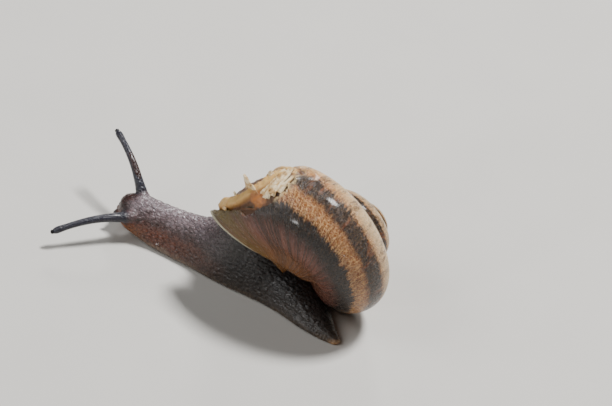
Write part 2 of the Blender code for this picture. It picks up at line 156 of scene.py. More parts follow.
back = Vector((np.cos(VIEW_TURN) * np.cos(VIEW_RISE), np.sin(VIEW_TURN) * np.cos(VIEW_RISE),
               np.sin(VIEW_RISE)))
level = Vector((0, 0, 1)).cross(back).normalized()
right = Matrix.Rotation(-VIEW_ROLL, 3, back) @ level
facing = Matrix((right, back.cross(right), back)).transposed()
camera = bpy.data.objects.new("camera", bpy.data.cameras.new("camera"))
camera.data.lens = LENS
camera.data.sensor_width = 36
camera.data.clip_start = 0.01
camera.matrix_world = Matrix.Translation(VIEW_CENTRE + back * VIEW_DISTANCE) @ facing.to_4x4()
bpy.context.scene.collection.objects.link(camera)
bpy.context.scene.camera = camera
print("view right, up:", [round(v, 3) for v in right], [round(v, 3) for v in back.cross(right)])

# %% [markdown]
# ## The line of the shell
# A snail builds its shell at the mouth and keeps the same shape as it grows. So one section of the
# tube, turned about the coiling axis and scaled up with every step, draws the whole shell. The
# section is an ellipse that flattens a little under the suture, the line where whorls meet. Angles
# round the tube are called girth, and angles along the spiral growth, with zero near the lip.

# %% Measures of the coil
TUBE = 9.48 * MM  # half-width of the last whorl
WHORL_GROWTH = 2.12  # size of a whorl over that of the whorl before
AXIS_DISTANCE, TUBE_DROP, TUBE_HEIGHT = 1.026, -2.25, 1.04  # in half-widths
TUBE_TILT = np.radians(-5.7)
UPPER_SUTURE, LOWER_SUTURE, BASE_END = np.radians((101.2, -12.7, -124))
SHOULDER_FLATNESS = 0.6
AXIS_HEIGHT, AXIS_REACH = -2.85, np.radians(28)  # where the base closes, and over what girth
UMBILICUS_FILL, FILL_REACH = 0.46, np.radians(30)  # how much lower half a turn behind the lip
LIP, LIP_SLANT = np.radians((-25.4, -66))
APEX_BLUNTNESS = 2.6 * MM
SHELL_TURN = np.array(Euler(np.radians((80.6, 28.6, 163.4))).to_matrix())
SHELL_APEX = np.array((17.42, 18.50, 12.60)) * MM
TUBE_MIDDLE = np.array((AXIS_DISTANCE, TUBE_DROP))
TURN = 2 * np.pi


def tube_ellipse(girth):
    across, along = np.cos(girth), TUBE_HEIGHT * np.sin(girth)
    radius = AXIS_DISTANCE + across * np.cos(TUBE_TILT) - along * np.sin(TUBE_TILT)
    height = TUBE_DROP + across * np.sin(TUBE_TILT) + along * np.cos(TUBE_TILT)
    return np.stack([radius, height], -1)


def tube_section(girth):
    """Radius and height of the tube's skin, for a tube of half-width 1, and on to the axis."""
    girth = np.asarray(girth, float)
    share = np.clip((UPPER_SUTURE - girth) / (UPPER_SUTURE - LOWER_SUTURE), 0, 1)[..., None]
    upper, lower = tube_ellipse(UPPER_SUTURE), tube_ellipse(LOWER_SUTURE)
    outline = tube_ellipse(np.maximum(girth, BASE_END))
    chord = upper + (lower - upper) * share
    flatter = (chord - outline) * SHOULDER_FLATNESS + lower / WHORL_GROWTH - upper
    outline = outline + flatter * (1 - share) ** 3
    inner = np.clip((BASE_END - girth) / AXIS_REACH, 0, 1)[..., None]
    return outline * (1 - inner) + np.array((0.0, AXIS_HEIGHT)) * inner


def coil(growth, section, depth=0.0):
    """Section points carried along the spiral, and sunk by depth towards the tube's middle."""
    growth = np.asarray(growth, float)
    size = TUBE * WHORL_GROWTH ** (growth / TURN)
    inward = TUBE_MIDDLE - section
    inward = inward / np.maximum(np.linalg.norm(inward, axis=-1, keepdims=True), 1e-9)
    placed = section * size[..., None] + inward * np.asarray(depth, float)[..., None]
    radius, height = placed[..., 0], placed[..., 1]
    return np.stack([radius * np.cos(growth), -radius * np.sin(growth), height], -1)


def place_shell(points):
    """From the coil's own axes to the snail's, with the apex rounded."""
    height = -np.hypot(points[:, 2], APEX_BLUNTNESS)
    return np.column_stack([points[:, :2], height]) @ SHELL_TURN.T + SHELL_APEX


def lip_lag(girth):
    """How far the slanting lip lies behind its foremost point."""
    return LIP_SLANT * np.clip((UPPER_SUTURE - girth) / (UPPER_SUTURE - BASE_END), 0, 1) ** 2.5


# %% [markdown]
# ## Growing the shell
# The whorls are one tube that widens as it winds. A Screw modifier would wind it but can't widen it,
# so this is done as by hand: one edge loop is extruded, turned and scaled again and again, as the
# real one grows. A circle gives the loop: half of it is deleted, and the rest is bent to the section.
# Each new row is marked with its growth angle and each column with its girth, for the colours.

# %% Extrude, turn, scale
ROWS, TURNS = 90, 4  # rows in a turn
SPIRE_COLUMNS, BASE_COLUMNS, AXIS_COLUMNS = 12, 16, 4
COLUMNS = SPIRE_COLUMNS + BASE_COLUMNS + AXIS_COLUMNS + 1
FIRST, LAST_TURN = LIP - TURN * TURNS, LIP - TURN
GIRTH = np.concatenate([np.linspace(UPPER_SUTURE, LOWER_SUTURE, SPIRE_COLUMNS + 1),
                        np.linspace(LOWER_SUTURE, BASE_END, BASE_COLUMNS + 1)[1:],
                        np.linspace(BASE_END, BASE_END - AXIS_REACH, AXIS_COLUMNS + 1)[1:]])


def wind(step):
    """Extrudes what is picked and carries the new edge one step along the coil, scaled to fit."""
    larger = WHORL_GROWTH ** (step / TURN)
    bpy.ops.mesh.extrude_region_move()
    bpy.ops.transform.rotate(value=step, orient_axis="Z", center_override=(0, 0, 0))
    bpy.ops.transform.resize(value=(larger,) * 3, center_override=(0, 0, 0))


def grow_shell():
    start_clean()
    bpy.ops.mesh.primitive_circle_add(vertices=2 * COLUMNS, radius=TUBE)
    piece = named("shell_banded")
    edit(piece, bpy.ops.mesh.delete, np.arange(2 * COLUMNS) >= COLUMNS, type="VERT")
    move_corners(piece, coil(np.full(COLUMNS, FIRST), tube_section(GIRTH)))
    store(piece, "growth", np.full(COLUMNS, FIRST))
    store(piece, "girth", GIRTH)
    pick_corners(piece, np.ones(COLUMNS))
    step = TURN / ROWS
    for row in range(1, ROWS * TURNS + 1):
        wind(step)
        shape = bmesh.from_edit_mesh(piece.data)
        growth = shape.verts.layers.float["growth"]
        for corner in shape.verts:
            if corner.select:
                corner[growth] = FIRST + row * step
    start_clean()
    return piece


shell = grow_shell()
miss = corners(shell)[-COLUMNS:] - coil(np.full(COLUMNS, LIP), tube_section(GIRTH))
print(count(shell), "and the last row misses its place by", round(abs(miss).max() / MM, 3), "mm")

# %% [markdown]
# ## Trimming, and a map of the shell
# Where a whorl covers the one before, the covered base is deleted and the two are welded along the
# suture. Before the weld, a UV map stores growth and girth in turns. A corner on the suture keeps
# two places on that map, one for each whorl, so no colour is dragged across the line.

# %% Trim, map, weld and refine
HAIR = 0.001  # radians, for comparing angles that went through 32 bits
WELD = 0.002 * MM


def shell_places(piece):
    """Growth and girth of every face corner, from the piece's map."""
    flat = np.zeros(len(piece.data.loops) * 2)
    piece.data.uv_layers["shell_map"].data.foreach_get("uv", flat)
    return flat.reshape(-1, 2) * TURN


def leaning(growth, girth):
    """The true angle of a point, once the lip's slant has grown in over the last turn."""
    return growth + lip_lag(girth) * smooth_between(LAST_TURN, LIP, growth)


def filled_section(growth, girth):
    """The section, but lower near the axis inside the last turn, which closes the umbilicus."""
    section = tube_section(girth)
    near_axis = np.clip((BASE_END - girth) / FILL_REACH + 0.9, 0, 1)
    share = np.clip((growth - LAST_TURN) / TURN, 0, 1)
    swell = near_axis ** 2 * (3 - 2 * near_axis) * np.sin(np.pi * share) ** 0.6
    section[..., 1] -= UMBILICUS_FILL * swell
    return section


def point_of_corner(piece):
    owner = np.zeros(len(piece.data.loops), int)
    piece.data.loops.foreach_get("vertex_index", owner)
    return owner


def corner_mean(piece, values):
    """From a value at each face corner to its mean at each point."""
    owner = point_of_corner(piece)
    size = len(piece.data.vertices)
    total = np.maximum(np.bincount(owner, minlength=size), 1)
    return np.stack([np.bincount(owner, column, size) / total for column in values.T], -1)


def trim_and_map(piece):
    growth, girth = read(piece, "growth"), read(piece, "girth")
    covered = (growth < LAST_TURN - HAIR) & (girth < LOWER_SUTURE - HAIR)
    edit(piece, bpy.ops.mesh.delete, covered, type="VERT")
    growth, girth = read(piece, "growth"), read(piece, "girth")
    places = np.column_stack([growth, girth])[point_of_corner(piece)] / TURN
    piece.data.uv_layers.new(name="shell_map").data.foreach_set("uv", places.ravel())
    edit(piece, bpy.ops.mesh.remove_doubles, threshold=WELD)


def settle(piece):
    """Puts every point back on the coil's true line, and leans the last turn towards its lip."""
    growth, girth = shell_places(piece).T
    places = coil(leaning(growth, girth), filled_section(growth, girth))
    move_corners(piece, corner_mean(piece, places))


trim_and_map(shell)
last = corner_mean(shell, shell_places(shell))[:, 0] > LAST_TURN - HAIR
edit(shell, bpy.ops.mesh.subdivide, last, number_cuts=2)
settle(shell)
print(count(shell))

# %% [markdown]
# ## The broken edge
# The old shell has lost a piece of its front, from the crown down to near the lip's corner. The
# fracture runs along a ragged line. A Boolean could cut it, but would leave slivers and lose the map.
# So the mesh is made finer near the line and bent in a little where the crown broke. Then all points
# in front of the line are deleted, and small steps stay as a torn edge.

# %% Break the front
FRACTURE = np.radians([  # girth and true angle along the spiral, from the lip up and over the crown
    (-62, -83), (-58, -90), (-52, -95), (-46, -100), (-38, -105), (-19, -107), (-2, -106),
    (12, -102), (22, -103), (40, -84), (58, -60), (76, -34)])
PRONG = np.radians([  # the inner side of the narrow strip that is left along the lip
    (-62, -84), (-57, -80), (-54, -77), (-53, -71), (-51, -64), (-48, -58), (-42, -52), (-37, -45),
    (-35, 60)])
RAGGED, FINER_NEAR = np.radians((1.6, 6.0))  # how far the edge strays, and how near it is finer
CROWN_SINK, CROWN_REACH = 0.7 * MM, np.radians(16)  # how deep the crown is pressed, how far back
CROWN = np.radians((14, 60))  # girth where it is pressed in full, and where it ends


def ripple(value, seed):
    """Smooth noise along a line, from -1 to 1, the same on every run."""
    return np.array([noise.noise((v, seed, 0.5)) for v in np.ravel(value)]).reshape(np.shape(value))


def fracture_line(girth):
    jagged = ripple(girth * 9, 3.1) + 0.6 * ripple(girth * 31, 7.7)
    return np.interp(girth, *FRACTURE.T) + RAGGED * jagged


def past_fracture(piece):
    growth, girth = corner_mean(piece, shell_places(piece)).T
    inside = (girth > FRACTURE[0, 0]) & (girth < FRACTURE[-1, 0]) & (growth > LAST_TURN)
    angle = leaning(growth, girth)
    past = np.minimum(angle - fracture_line(girth), np.interp(girth, *PRONG.T) - angle)
    return np.where(inside, past, -1.0)


def press_crown(piece):
    """Bends the crown's edge in a little where it broke."""
    growth, girth = shell_places(piece).T
    angle = leaning(growth, girth)
    behind = np.interp(girth, *FRACTURE.T) - angle
    near = np.clip(1 - behind / CROWN_REACH, 0, 1) * (growth > LAST_TURN)
    crown = np.clip(girth / CROWN[0], 0, 1) * np.clip((CROWN[1] - girth) * 3, 0, 1)
    depth = CROWN_SINK * near ** 2 * crown
    move_corners(piece, corner_mean(piece, coil(angle, filled_section(growth, girth), depth)))


near_line = abs(past_fracture(shell)) < FINER_NEAR
edit(shell, bpy.ops.mesh.subdivide, near_line, number_cuts=1)
press_crown(shell)
lost = past_fracture(shell) > 0
edit(shell, bpy.ops.mesh.delete, lost, type="VERT")
print("points lost with the break:", int(lost.sum()), "-", count(shell))

# %% [markdown]
# ## The wall and the mouth
# Only the open rim has to show the wall's thickness, and Solidify would push the walls of the inner
# whorls through each other. So the rim is extruded once, towards the middle of the tube. Under the
# break the next loop lies deeper, so that the lining stays below the new shell. It is then turned
# back along the coil again and again, which lines the mouth. The last loop is merged to one point,
# far inside, so the piece is closed. The small hole at the apex is filled.

# %% Close the apex and line the mouth
SHELL_WALL, PILLAR_WALL = 0.42 * MM, 1.2 * MM
LINING_STEPS, LINING_TURN = 8, np.radians(90)
LINING_DROP = 1.9 * MM  # how much deeper it lies under the new shell
JOIN = 0.02  # growth over which the last turn still counts as touching the whorl before
STRIP_END = np.radians(-50)  # girth up to which the lip's narrow strip keeps its lining in place
APEX_HOLE = 2 * MM  # edges nearer than this to where the coil starts bound the hole at the apex


def pick_open_edges(piece):
    pick_corners(piece, np.zeros(len(piece.data.vertices)))
    bpy.ops.mesh.select_non_manifold(extend=False, use_wire=False, use_boundary=True,
                                     use_multi_face=False, use_non_contiguous=False,
                                     use_verts=False)


def close_apex(piece):
    pick_open_edges(piece)
    shape = bmesh.from_edit_mesh(piece.data)
    shape.select_mode = {"EDGE"}
    for edge in shape.edges:
        if edge.verts[0].co.length > APEX_HOLE:
            edge.select = False
    shape.select_flush_mode()
    bpy.ops.mesh.select_mode(type="EDGE")
    bpy.ops.mesh.extrude_region_move()
    bpy.ops.mesh.merge(type="CENTER")
    start_clean()


def picked(piece):
    """Back to object mode, with a mark for each point that is selected."""
    bpy.ops.object.mode_set(mode="OBJECT")
    chosen = np.zeros(len(piece.data.vertices), bool)
    piece.data.vertices.foreach_get("select", chosen)
    return chosen


def way_inward(piece):
    """From each point the way of length 1 to the middle of the tube that it belongs to."""
    growth, girth = read(piece, "growth"), read(piece, "girth")
    angle = np.where(growth < LAST_TURN + JOIN, growth + TURN, leaning(growth, girth))
    on_axis = girth < BASE_END - 0.9 * AXIS_REACH
    along_pillar = np.clip((growth - LAST_TURN) / TURN, 0, 1)
    angle = np.where(on_axis, LIP + LIP_SLANT * along_pillar, angle)
    inward = coil(angle, TUBE_MIDDLE[None].repeat(len(angle), 0)) - corners(piece)
    return inward / np.linalg.norm(inward, axis=1, keepdims=True)


def thicken_rim(piece):
    """Extrudes the rim by the wall's thickness; gives the way inward, taken before that."""
    pick_open_edges(piece)
    bpy.ops.mesh.select_mode(type="EDGE")
    bpy.ops.mesh.extrude_region_move()
    rim, inward = picked(piece), way_inward(piece)
    wall = np.interp(read(piece, "girth"), (BASE_END - 0.6 * AXIS_REACH, BASE_END),
                     (PILLAR_WALL, SHELL_WALL))
    move_corners(piece, corners(piece) + inward * (wall * rim)[:, None])
    return inward


def start_lining(piece, inward):
    """Extrudes the rim's inner edge, and drops it where the front is broken away."""
    rim, growth, girth = picked(piece), read(piece, "growth"), read(piece, "girth")
    broken = (girth > FRACTURE[0, 0]) & (girth < FRACTURE[-1, 0]) & (growth > LAST_TURN + JOIN)
    on_strip = (growth > LIP - JOIN / 2) & (girth < STRIP_END)
    drop = inward * LINING_DROP * (broken & ~on_strip)[:, None]
    bpy.ops.object.mode_set(mode="EDIT")
    bpy.ops.mesh.extrude_region_move()
    lining = picked(piece)
    places = corners(piece)
    places[lining] += drop[rim]
    move_corners(piece, places)
    store(piece, "inside", lining * 1.0)


def line_mouth(piece):
    start_lining(piece, thicken_rim(piece))
    bpy.ops.object.mode_set(mode="EDIT")
    for _ in range(LINING_STEPS):
        wind(-LINING_TURN / LINING_STEPS)
    bpy.ops.mesh.extrude_region_move()
    bpy.ops.mesh.merge(type="CENTER")
    start_clean()


close_apex(shell)
line_mouth(shell)
move_corners(shell, place_shell(corners(shell)))
edit(shell, bpy.ops.mesh.normals_make_consistent, inside=False)
activate(shell)
bpy.ops.object.shade_smooth()
print(count(shell))

# %% [markdown]
# ## The soft body, one ring after another
# Under the shell the animal is one muscular foot with a neck and a head. It could be sculpted, but
# rings keep it measured: one for each station from the tail tip to the snout. A circle is extruded
# once for each ring, and the rings are then shaped: flat sole, thin fringe, rounded back. The
# stations repeat those of the solid model.

# %% Rings of the body
TAIL_TIP = Vector((23.52, -1.30, 0.0)) * MM
STATIONS = np.array([  # mm from the tail tip: place, middle, sole, back, height, underside
    (0.0, 0.0, 0.7, 0.45, 0.9, 0.0), (-3.0, 0.55, 2.1, 1.5, 1.9, 0.0),
    (-6.5, 1.60, 3.4, 2.5, 3.0, 0.0), (-11.0, 2.90, 4.3, 3.6, 5.2, 0.0),
    (-14.5, 3.40, 4.8, 4.2, 6.5, 0.0), (-17.5, 3.45, 5.2, 4.8, 11.5, 0.0),
    (-21.5, 3.15, 5.5, 5.0, 14.5, 0.0), (-24.5, 2.75, 5.4, 4.7, 11.0, 0.0),
    (-27.0, 2.35, 5.1, 4.2, 7.9, 0.0), (-30.0, 1.70, 4.6, 3.6, 6.3, 0.0),
    (-34.0, 0.95, 4.2, 3.2, 5.9, 0.0), (-37.0, 0.10, 3.7, 3.1, 6.1, 0.25),
    (-39.3, -0.70, 3.1, 3.1, 6.5, 0.9), (-40.9, -1.25, 2.75, 2.75, 6.2, 1.3),
    (-42.1, -1.65, 2.1, 2.1, 5.6, 1.8), (-42.8, -1.90, 1.1, 1.1, 4.7, 2.5)])
FRINGE = 1.1  # mm, height of the foot's flat edge
SNOUT = STATIONS[-1, 0]


def along_body(place, column):
    """A station value between stations, on a curve that never overshoots."""
    xs, ys = STATIONS[::-1, 0], STATIONS[::-1, column]
    step, rise = np.diff(xs), np.diff(ys) / np.diff(xs)
    slope = np.concatenate([[rise[0]], np.zeros(len(rise) - 1), [rise[-1]]])
    same = rise[:-1] * rise[1:] > 0
    slope[1:-1][same] = 2 * rise[:-1][same] * rise[1:][same] / (rise[:-1] + rise[1:])[same]
    i = int(np.clip(np.searchsorted(xs, place) - 1, 0, len(step) - 1))
    t, h = (place - xs[i]) / step[i], step[i]
    return ((2 * t**3 - 3 * t**2 + 1) * ys[i] + (t**3 - 2 * t**2 + t) * h * slope[i]
            + (-2 * t**3 + 3 * t**2) * ys[i + 1] + (t**3 - t**2) * h * slope[i + 1])


def body_ring(place):
    """A closed outline across the body: sole, fringe, side, back and down the other side."""
    sole, hump, height, under = (along_body(place, column) for column in (2, 3, 4, 5))
    bend = (along_body(place + 0.25, 1) - along_body(place - 0.25, 1)) / 0.5
    side = Vector((-bend, 1.0, 0.0)).normalized()
    fringe = min(FRINGE, 0.45 * (height - under))
    half = [(0.88 * sole, under), (sole, under + 0.45 * fringe), (0.94 * sole, under + fringe)]
    for a in np.radians(np.linspace(14, 90, 7)[:-1]):
        half.append((hump * np.cos(a) ** 0.8, under + fringe + (height - under - fringe) * np.sin(a)))
    outline = half + [(0.0, height)] + [(-across, up) for across, up in reversed(half)]
    outline.append((0.0, under))
    middle = Vector((place, along_body(place, 1), 0.0))
    return [TAIL_TIP + (middle + side * across + Vector((0, 0, up))) * MM for across, up in outline]


def loft(name, rings):
    """A closed form through rings of the same number of points, extruded one by one."""
    start_clean()
    bpy.ops.mesh.primitive_circle_add(vertices=len(rings[0]), radius=MM)
    piece = named(name)
    pick_corners(piece, np.ones(len(rings[0])))
    for _ in rings[1:]:
        bpy.ops.mesh.extrude_region_move()
    bpy.ops.object.mode_set(mode="OBJECT")
    move_corners(piece, np.concatenate([np.array(ring) for ring in rings]))
    for first in (0, len(rings[0]) * (len(rings) - 1)):
        ring = np.zeros(len(piece.data.vertices), bool)
        ring[first:first + len(rings[0])] = True
        pick_corners(piece, ring)
        bpy.ops.mesh.edge_face_add()
        bpy.ops.mesh.poke()
    start_clean()
    edit(piece, bpy.ops.mesh.normals_make_consistent, inside=False)
    apply_modifier(piece, "SUBSURF", levels=2, render_levels=2)
    return piece


body = loft("snail_skin", [body_ring(x) for x in np.linspace(0, SNOUT, 44)])
print(count(body))

# %% [markdown]
# ## Tentacles, brow and lips
# Two long tentacles carry the eyes and two short ones feel the ground. Each is a loft along a
# slightly bent line, with a flared root and a knob. A few spheres swell the brow and the lips.

# %% Tentacles and head forms
EYE_STALKS = {  # base and way in mm from the tail tip, length and bend
    "left": (Vector((-39.4, -3.20, 4.0)), Vector((-0.54, -0.84, -0.075)), 13.0, 0.9),
    "right": (Vector((-40.3, 0.65, 4.9)), Vector((-0.79, 0.35, 0.505)), 11.8, 1.2),
}
FEELERS = {
    "left": (Vector((-41.3, -2.75, 3.1)), Vector((-0.78, -0.50, -0.38)), 2.6, 0.15),
    "right": (Vector((-41.9, -0.55, 3.1)), Vector((-0.90, 0.25, -0.38)), 2.6, 0.15),
}
STALK_SHAPE = [(-0.08, 1.3), (0.0, 1.25), (0.05, 1.06), (0.15, 0.86), (0.3, 0.73), (0.5, 0.64),
               (0.7, 0.57), (0.86, 0.55), (0.93, 0.62), (0.975, 0.62), (1.0, 0.52), (1.02, 0.35)]
STALK_SIDES, RINGS_PER_MM = 12, 2.2
FEELER_SHAPE = [(-0.2, 0.7), (0.0, 0.62), (0.25, 0.45), (0.6, 0.34), (0.8, 0.40), (0.95, 0.36),
                (1.0, 0.2)]


def tentacle(name, base, way, length, sag, shape):
    way = way.normalized()
    bend = way.cross(Vector((0, 0, 1))).cross(way).normalized()
    across = way.cross(bend)
    rings = []
    for share in np.linspace(shape[0][0], shape[-1][0], round(length * RINGS_PER_MM) + 4):
        radius = np.interp(share, *np.array(shape).T)
        middle = base + way * length * share + bend * sag * np.sin(np.pi * max(share, 0))
        rings.append([TAIL_TIP + (middle + (bend * np.cos(a) + across * np.sin(a)) * radius) * MM
                      for a in np.linspace(0, TURN, STALK_SIDES, endpoint=False)])
    return loft(name, rings)


def swelling(name, place, size, way):
    """A stretched ball, with its long axis turned the given way in degrees about Z."""
    start_clean()
    bpy.ops.mesh.primitive_ico_sphere_add(subdivisions=4, radius=MM)
    piece = named(name)
    turn = np.array(Matrix.Rotation(np.radians(way), 3, "Z"))
    move_corners(piece, corners(piece) * np.array(size) @ turn.T + np.array(TAIL_TIP + place * MM))
    return piece


forms = [body]
for side, facts in EYE_STALKS.items():
    forms.append(tentacle(f"stalk_{side}", *facts, STALK_SHAPE))
for side, facts in FEELERS.items():
    forms.append(tentacle(f"feeler_{side}", *facts, FEELER_SHAPE))
forms.append(swelling("brow", Vector((-41.0, -1.2, 4.6)), (1.9, 2.0, 1.55), 22))
forms.append(swelling("lip_left", Vector((-42.3, -2.6, 2.6)), (0.9, 0.8, 0.9), 22))
forms.append(swelling("lip_right", Vector((-42.7, -1.2, 2.6)), (0.9, 0.8, 0.9), 22))
print("head forms:", [form.name for form in forms])

# %% [markdown]
# ## One skin
# A snail's skin has no seams, and a Boolean union would leave a crease where two forms meet. So all
# forms and a copy of the mantle, the thick edge of flesh in the shell's mouth, are joined and
# remeshed into a single skin, which is then smoothed and covered with tubercles, the long warts of a
# garden snail. At last the shell's own form is cut out of it, so that nothing pokes through.

# %% Join, remesh, sculpt and cut
SKIN_GRAIN = 0.17 * MM  # the remesh's cell
TUBERCLE = np.array((0.95, 0.55, 0.55))  # mm, long along the body
TUBERCLE_HEIGHT = 0.14 * MM
SCALLOP_HEIGHT, SCALLOP_LENGTH = 0.035 * MM, 0.55  # of the foot's fringe; the length in mm
MANTLE_SWELL = 0.35 * MM
ABOVE_FOOT, FACING_UP = (0.9, 1.8), (-0.6, 0.0)  # mm, and a normal's height, where tubercles grow in
FRINGE_FACING = (-0.5, 0.1)
HEAD_FROM, BESIDE_HEAD = (-38.0, -40.5), (2.6, 3.6)  # mm from the tail tip, and from the middle
GROOVE = (0.02, 0.42)  # from the line between two tubercles to their flat tops, in cells


def cad_copy(node, name, swell=0.0):
    """A welded copy of a CAD node, grown by swell. The node itself stays as it is."""
    piece = bpy.data.objects.new(name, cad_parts[node].data.copy())
    bpy.context.scene.collection.objects.link(piece)
    piece.data.materials.clear()
    edit(piece, bpy.ops.mesh.remove_doubles, threshold=WELD)
    if swell:
        normals = np.array([corner.normal for corner in piece.data.vertices])
        move_corners(piece, corners(piece) + normals * swell)
    return piece


def join(pieces):
    start_clean()
    for piece in pieces:
        piece.select_set(True)
    bpy.context.view_layer.objects.active = pieces[0]
    bpy.ops.object.join()
    return pieces[0]


def sculpt_skin(piece):
    """Raises tubercles above the foot, lower on the head and none on the tentacles, and scallops
    the fringe."""
    places = corners(piece)
    normals = np.array([corner.normal for corner in piece.data.vertices])
    local = (places - np.array(TAIL_TIP)) / MM
    above = smooth_between(*ABOVE_FOOT, local[:, 2]) * smooth_between(*FACING_UP, normals[:, 2])
    head = smooth_between(*HEAD_FROM, local[:, 0])
    middle = np.interp(local[:, 0], STATIONS[::-1, 0], STATIONS[::-1, 1])
    off_stalks = 1 - head * smooth_between(*BESIDE_HEAD, abs(local[:, 1] - middle))
    height = np.zeros(len(places))
    for i, place in enumerate(local):
        if above[i] > 0:
            near, next_near = noise.voronoi(Vector(place / TUBERCLE))[0][:2]
            height[i] = smooth_between(*GROOVE, next_near - near)
    height = height * TUBERCLE_HEIGHT * above * (1 - 0.5 * head) * off_stalks
    fringe = (1 - above) * smooth_between(*FRINGE_FACING, normals[:, 2])
    height += fringe * SCALLOP_HEIGHT * np.sin(local[:, 0] * TURN / SCALLOP_LENGTH)
    move_corners(piece, places + normals * height[:, None])


skin = join(forms + [cad_copy("mantle", "mantle_form", MANTLE_SWELL)])
apply_modifier(skin, "REMESH", mode="VOXEL", voxel_size=SKIN_GRAIN)
apply_modifier(skin, "SMOOTH", factor=0.5, iterations=5)
sculpt_skin(skin)
cutter = cad_copy("shell", "shell_form")
apply_modifier(skin, "BOOLEAN", operation="DIFFERENCE", solver="EXACT", object=cutter)
bpy.data.objects.remove(cutter)
activate(skin)
bpy.ops.object.shade_smooth()
print(count(skin))

# %% [markdown]
# ## The mend
# Under the break the snail has grown thin new shell. It starts below the old edge as a trough,
# brown and darkened with painted shade, rises to a crest, tan and lightened with painted light, and
# falls again towards the new lip. Its form could be cut from a shrunk copy of the shell, but a flat
# grid that is laid over the gap by formula is finer and keeps its own map. No tool bends a sheet
# along a spiral. The grid then gets its thickness.

# %% Lay the new shell under the break
CREST = np.radians([(-38, -58), (-42, -66), (-42, -74), (-38, -80), (-31, -85), (-26, -88), (-18, -91),
                    (-8, -92), (4, -94), (14, -95), (22, -92), (30, -82), (38, -70), (46, -56)])
MEND_GIRTH = np.radians((-61, 78))
MEND_UNDER = np.radians(5.0)  # reach under the old edge
MEND_FRONT = np.radians([(-50, 4), (-42, 6), (-34, 17), (50, 12)])  # girth, and way short of the lip
TROUGH_DEPTH, CREST_DEPTH, FRONT_DEPTH = 0.7 * MM, -0.15 * MM, 2.2 * MM
CREST_RADIUS = 15 * MM  # from the coiling axis
CREST_FALL = (0.5, 1.7)  # mm from its middle line over which the crest falls off, on both sides
FRONT_FALL = (0.2, 1.6)  # mm beyond the crest over which the front sinks
CROWN_DIP, DIP_GIRTH = 0.9 * MM, np.radians((0, 16))
RUST_PATCH, DARK_PIT = np.radians((-92, -39)), np.radians((-85, -55))
RUST_SWELL, RUST_EDGE = 0.2 * MM, (0.8, 2.0)  # edges in mm from the middle of each spot
PIT_DEPTH, PIT_EDGE = 1.2 * MM, (0.2, 0.9)
UNDERLAP_DEPTH, UNDERLAP_EDGE = 0.5 * MM, (0.1, 0.9)  # it keeps below the old edge that far
CRUMPLE, CRUMPLES = 0.18 * MM, (26, 14)  # depth, and how many to a radian of angle and of girth
MEND_THICKNESS = 0.3 * MM


def from_spot(angle, girth, spot):
    """Distance in mm from a spot on the new shell, measured along it."""
    return np.hypot((angle - spot[0]) * CREST_RADIUS, (girth - spot[1]) * TUBE) / MM


def mend_depth(angle, girth):
    """How deep the new shell lies under the old outline, and how near a point is to the crest."""
    line = np.linspace(0, len(CREST) - 1, 150)
    crest_girth, crest_angle = (np.interp(line, np.arange(len(CREST)), c) for c in CREST.T)
    away = from_spot(angle[:, None], girth[:, None], (crest_angle, crest_girth)).min(1)
    rise = 1 - smooth_between(*CREST_FALL, away)
    ahead = np.minimum((angle - np.interp(girth, *CREST[2:].T)) * CREST_RADIUS,
                       (girth - CREST[1, 0]) * TUBE) / MM
    low = TROUGH_DEPTH + (FRONT_DEPTH - TROUGH_DEPTH) * smooth_between(*FRONT_FALL, ahead)
    crest_depth = CREST_DEPTH + CROWN_DIP * smooth_between(*DIP_GIRTH, girth)
    depth = low + (crest_depth - low) * rise
    near_rust = 1 - smooth_between(*RUST_EDGE, from_spot(angle, girth, RUST_PATCH))
    near_pit = 1 - smooth_between(*PIT_EDGE, from_spot(angle, girth, DARK_PIT))
    depth += PIT_DEPTH * near_pit - RUST_SWELL * near_rust * (1 - rise)
    open_for = (angle - np.interp(girth, *FRACTURE.T)) * CREST_RADIUS / MM
    return np.maximum(depth, UNDERLAP_DEPTH * (1 - smooth_between(*UNDERLAP_EDGE, open_for))), rise


def lay_mend():
    start_clean()
    bpy.ops.mesh.primitive_grid_add(x_subdivisions=72, y_subdivisions=84, size=1)
    piece = named("shell_mend")
    share = corners(piece)[:, :2] + 0.5
    girth = MEND_GIRTH[0] + (MEND_GIRTH[1] - MEND_GIRTH[0]) * share[:, 1]
    front = LIP + lip_lag(girth) - np.interp(girth, *MEND_FRONT.T)
    start = np.minimum(np.interp(girth, *FRACTURE.T) - MEND_UNDER, front - np.radians(2))
    angle = start + (front - start) * share[:, 0]
    depth, rise = mend_depth(angle, girth)
    crumple = [noise.noise((a * CRUMPLES[0], g * CRUMPLES[1], 0.3)) for a, g in zip(angle, girth)]
    depth += np.array(crumple) * CRUMPLE
    move_corners(piece, place_shell(coil(angle, tube_section(girth), depth)))
    # rise also drives the mend's painted light and shade: darker in the trough, lighter on the crest.
    store(piece, "rise", rise)
    places = np.column_stack([angle, girth])[point_of_corner(piece)] / TURN
    piece.data.uv_layers.active.name = "shell_map"
    piece.data.uv_layers["shell_map"].data.foreach_set("uv", places.ravel())
    tube_middle = place_shell(coil([angle.mean()], TUBE_MIDDLE[None]))[0]
    outward = Vector(corners(piece).mean(0) - tube_middle)
    if sum(face.normal.dot(outward) for face in piece.data.polygons) < 0:
        edit(piece, bpy.ops.mesh.flip_normals)
    apply_modifier(piece, "SOLIDIFY", thickness=MEND_THICKNESS, offset=-1)
    activate(piece)
    bpy.ops.object.shade_smooth()
    return piece


mend = lay_mend()
print(count(mend))

# %% [markdown]
# ## Chips on the crest
# Bleached splinters of the old shell still lie between the break and the crest, split along the
# growth lines, and a few chips stand on the crest like broken teeth. A fracture of the shell's mesh
# would give shards of random form, so each is made alone: a small grid that runs from its root to its
# tip, narrowed and torn there, curled across and given a thickness.

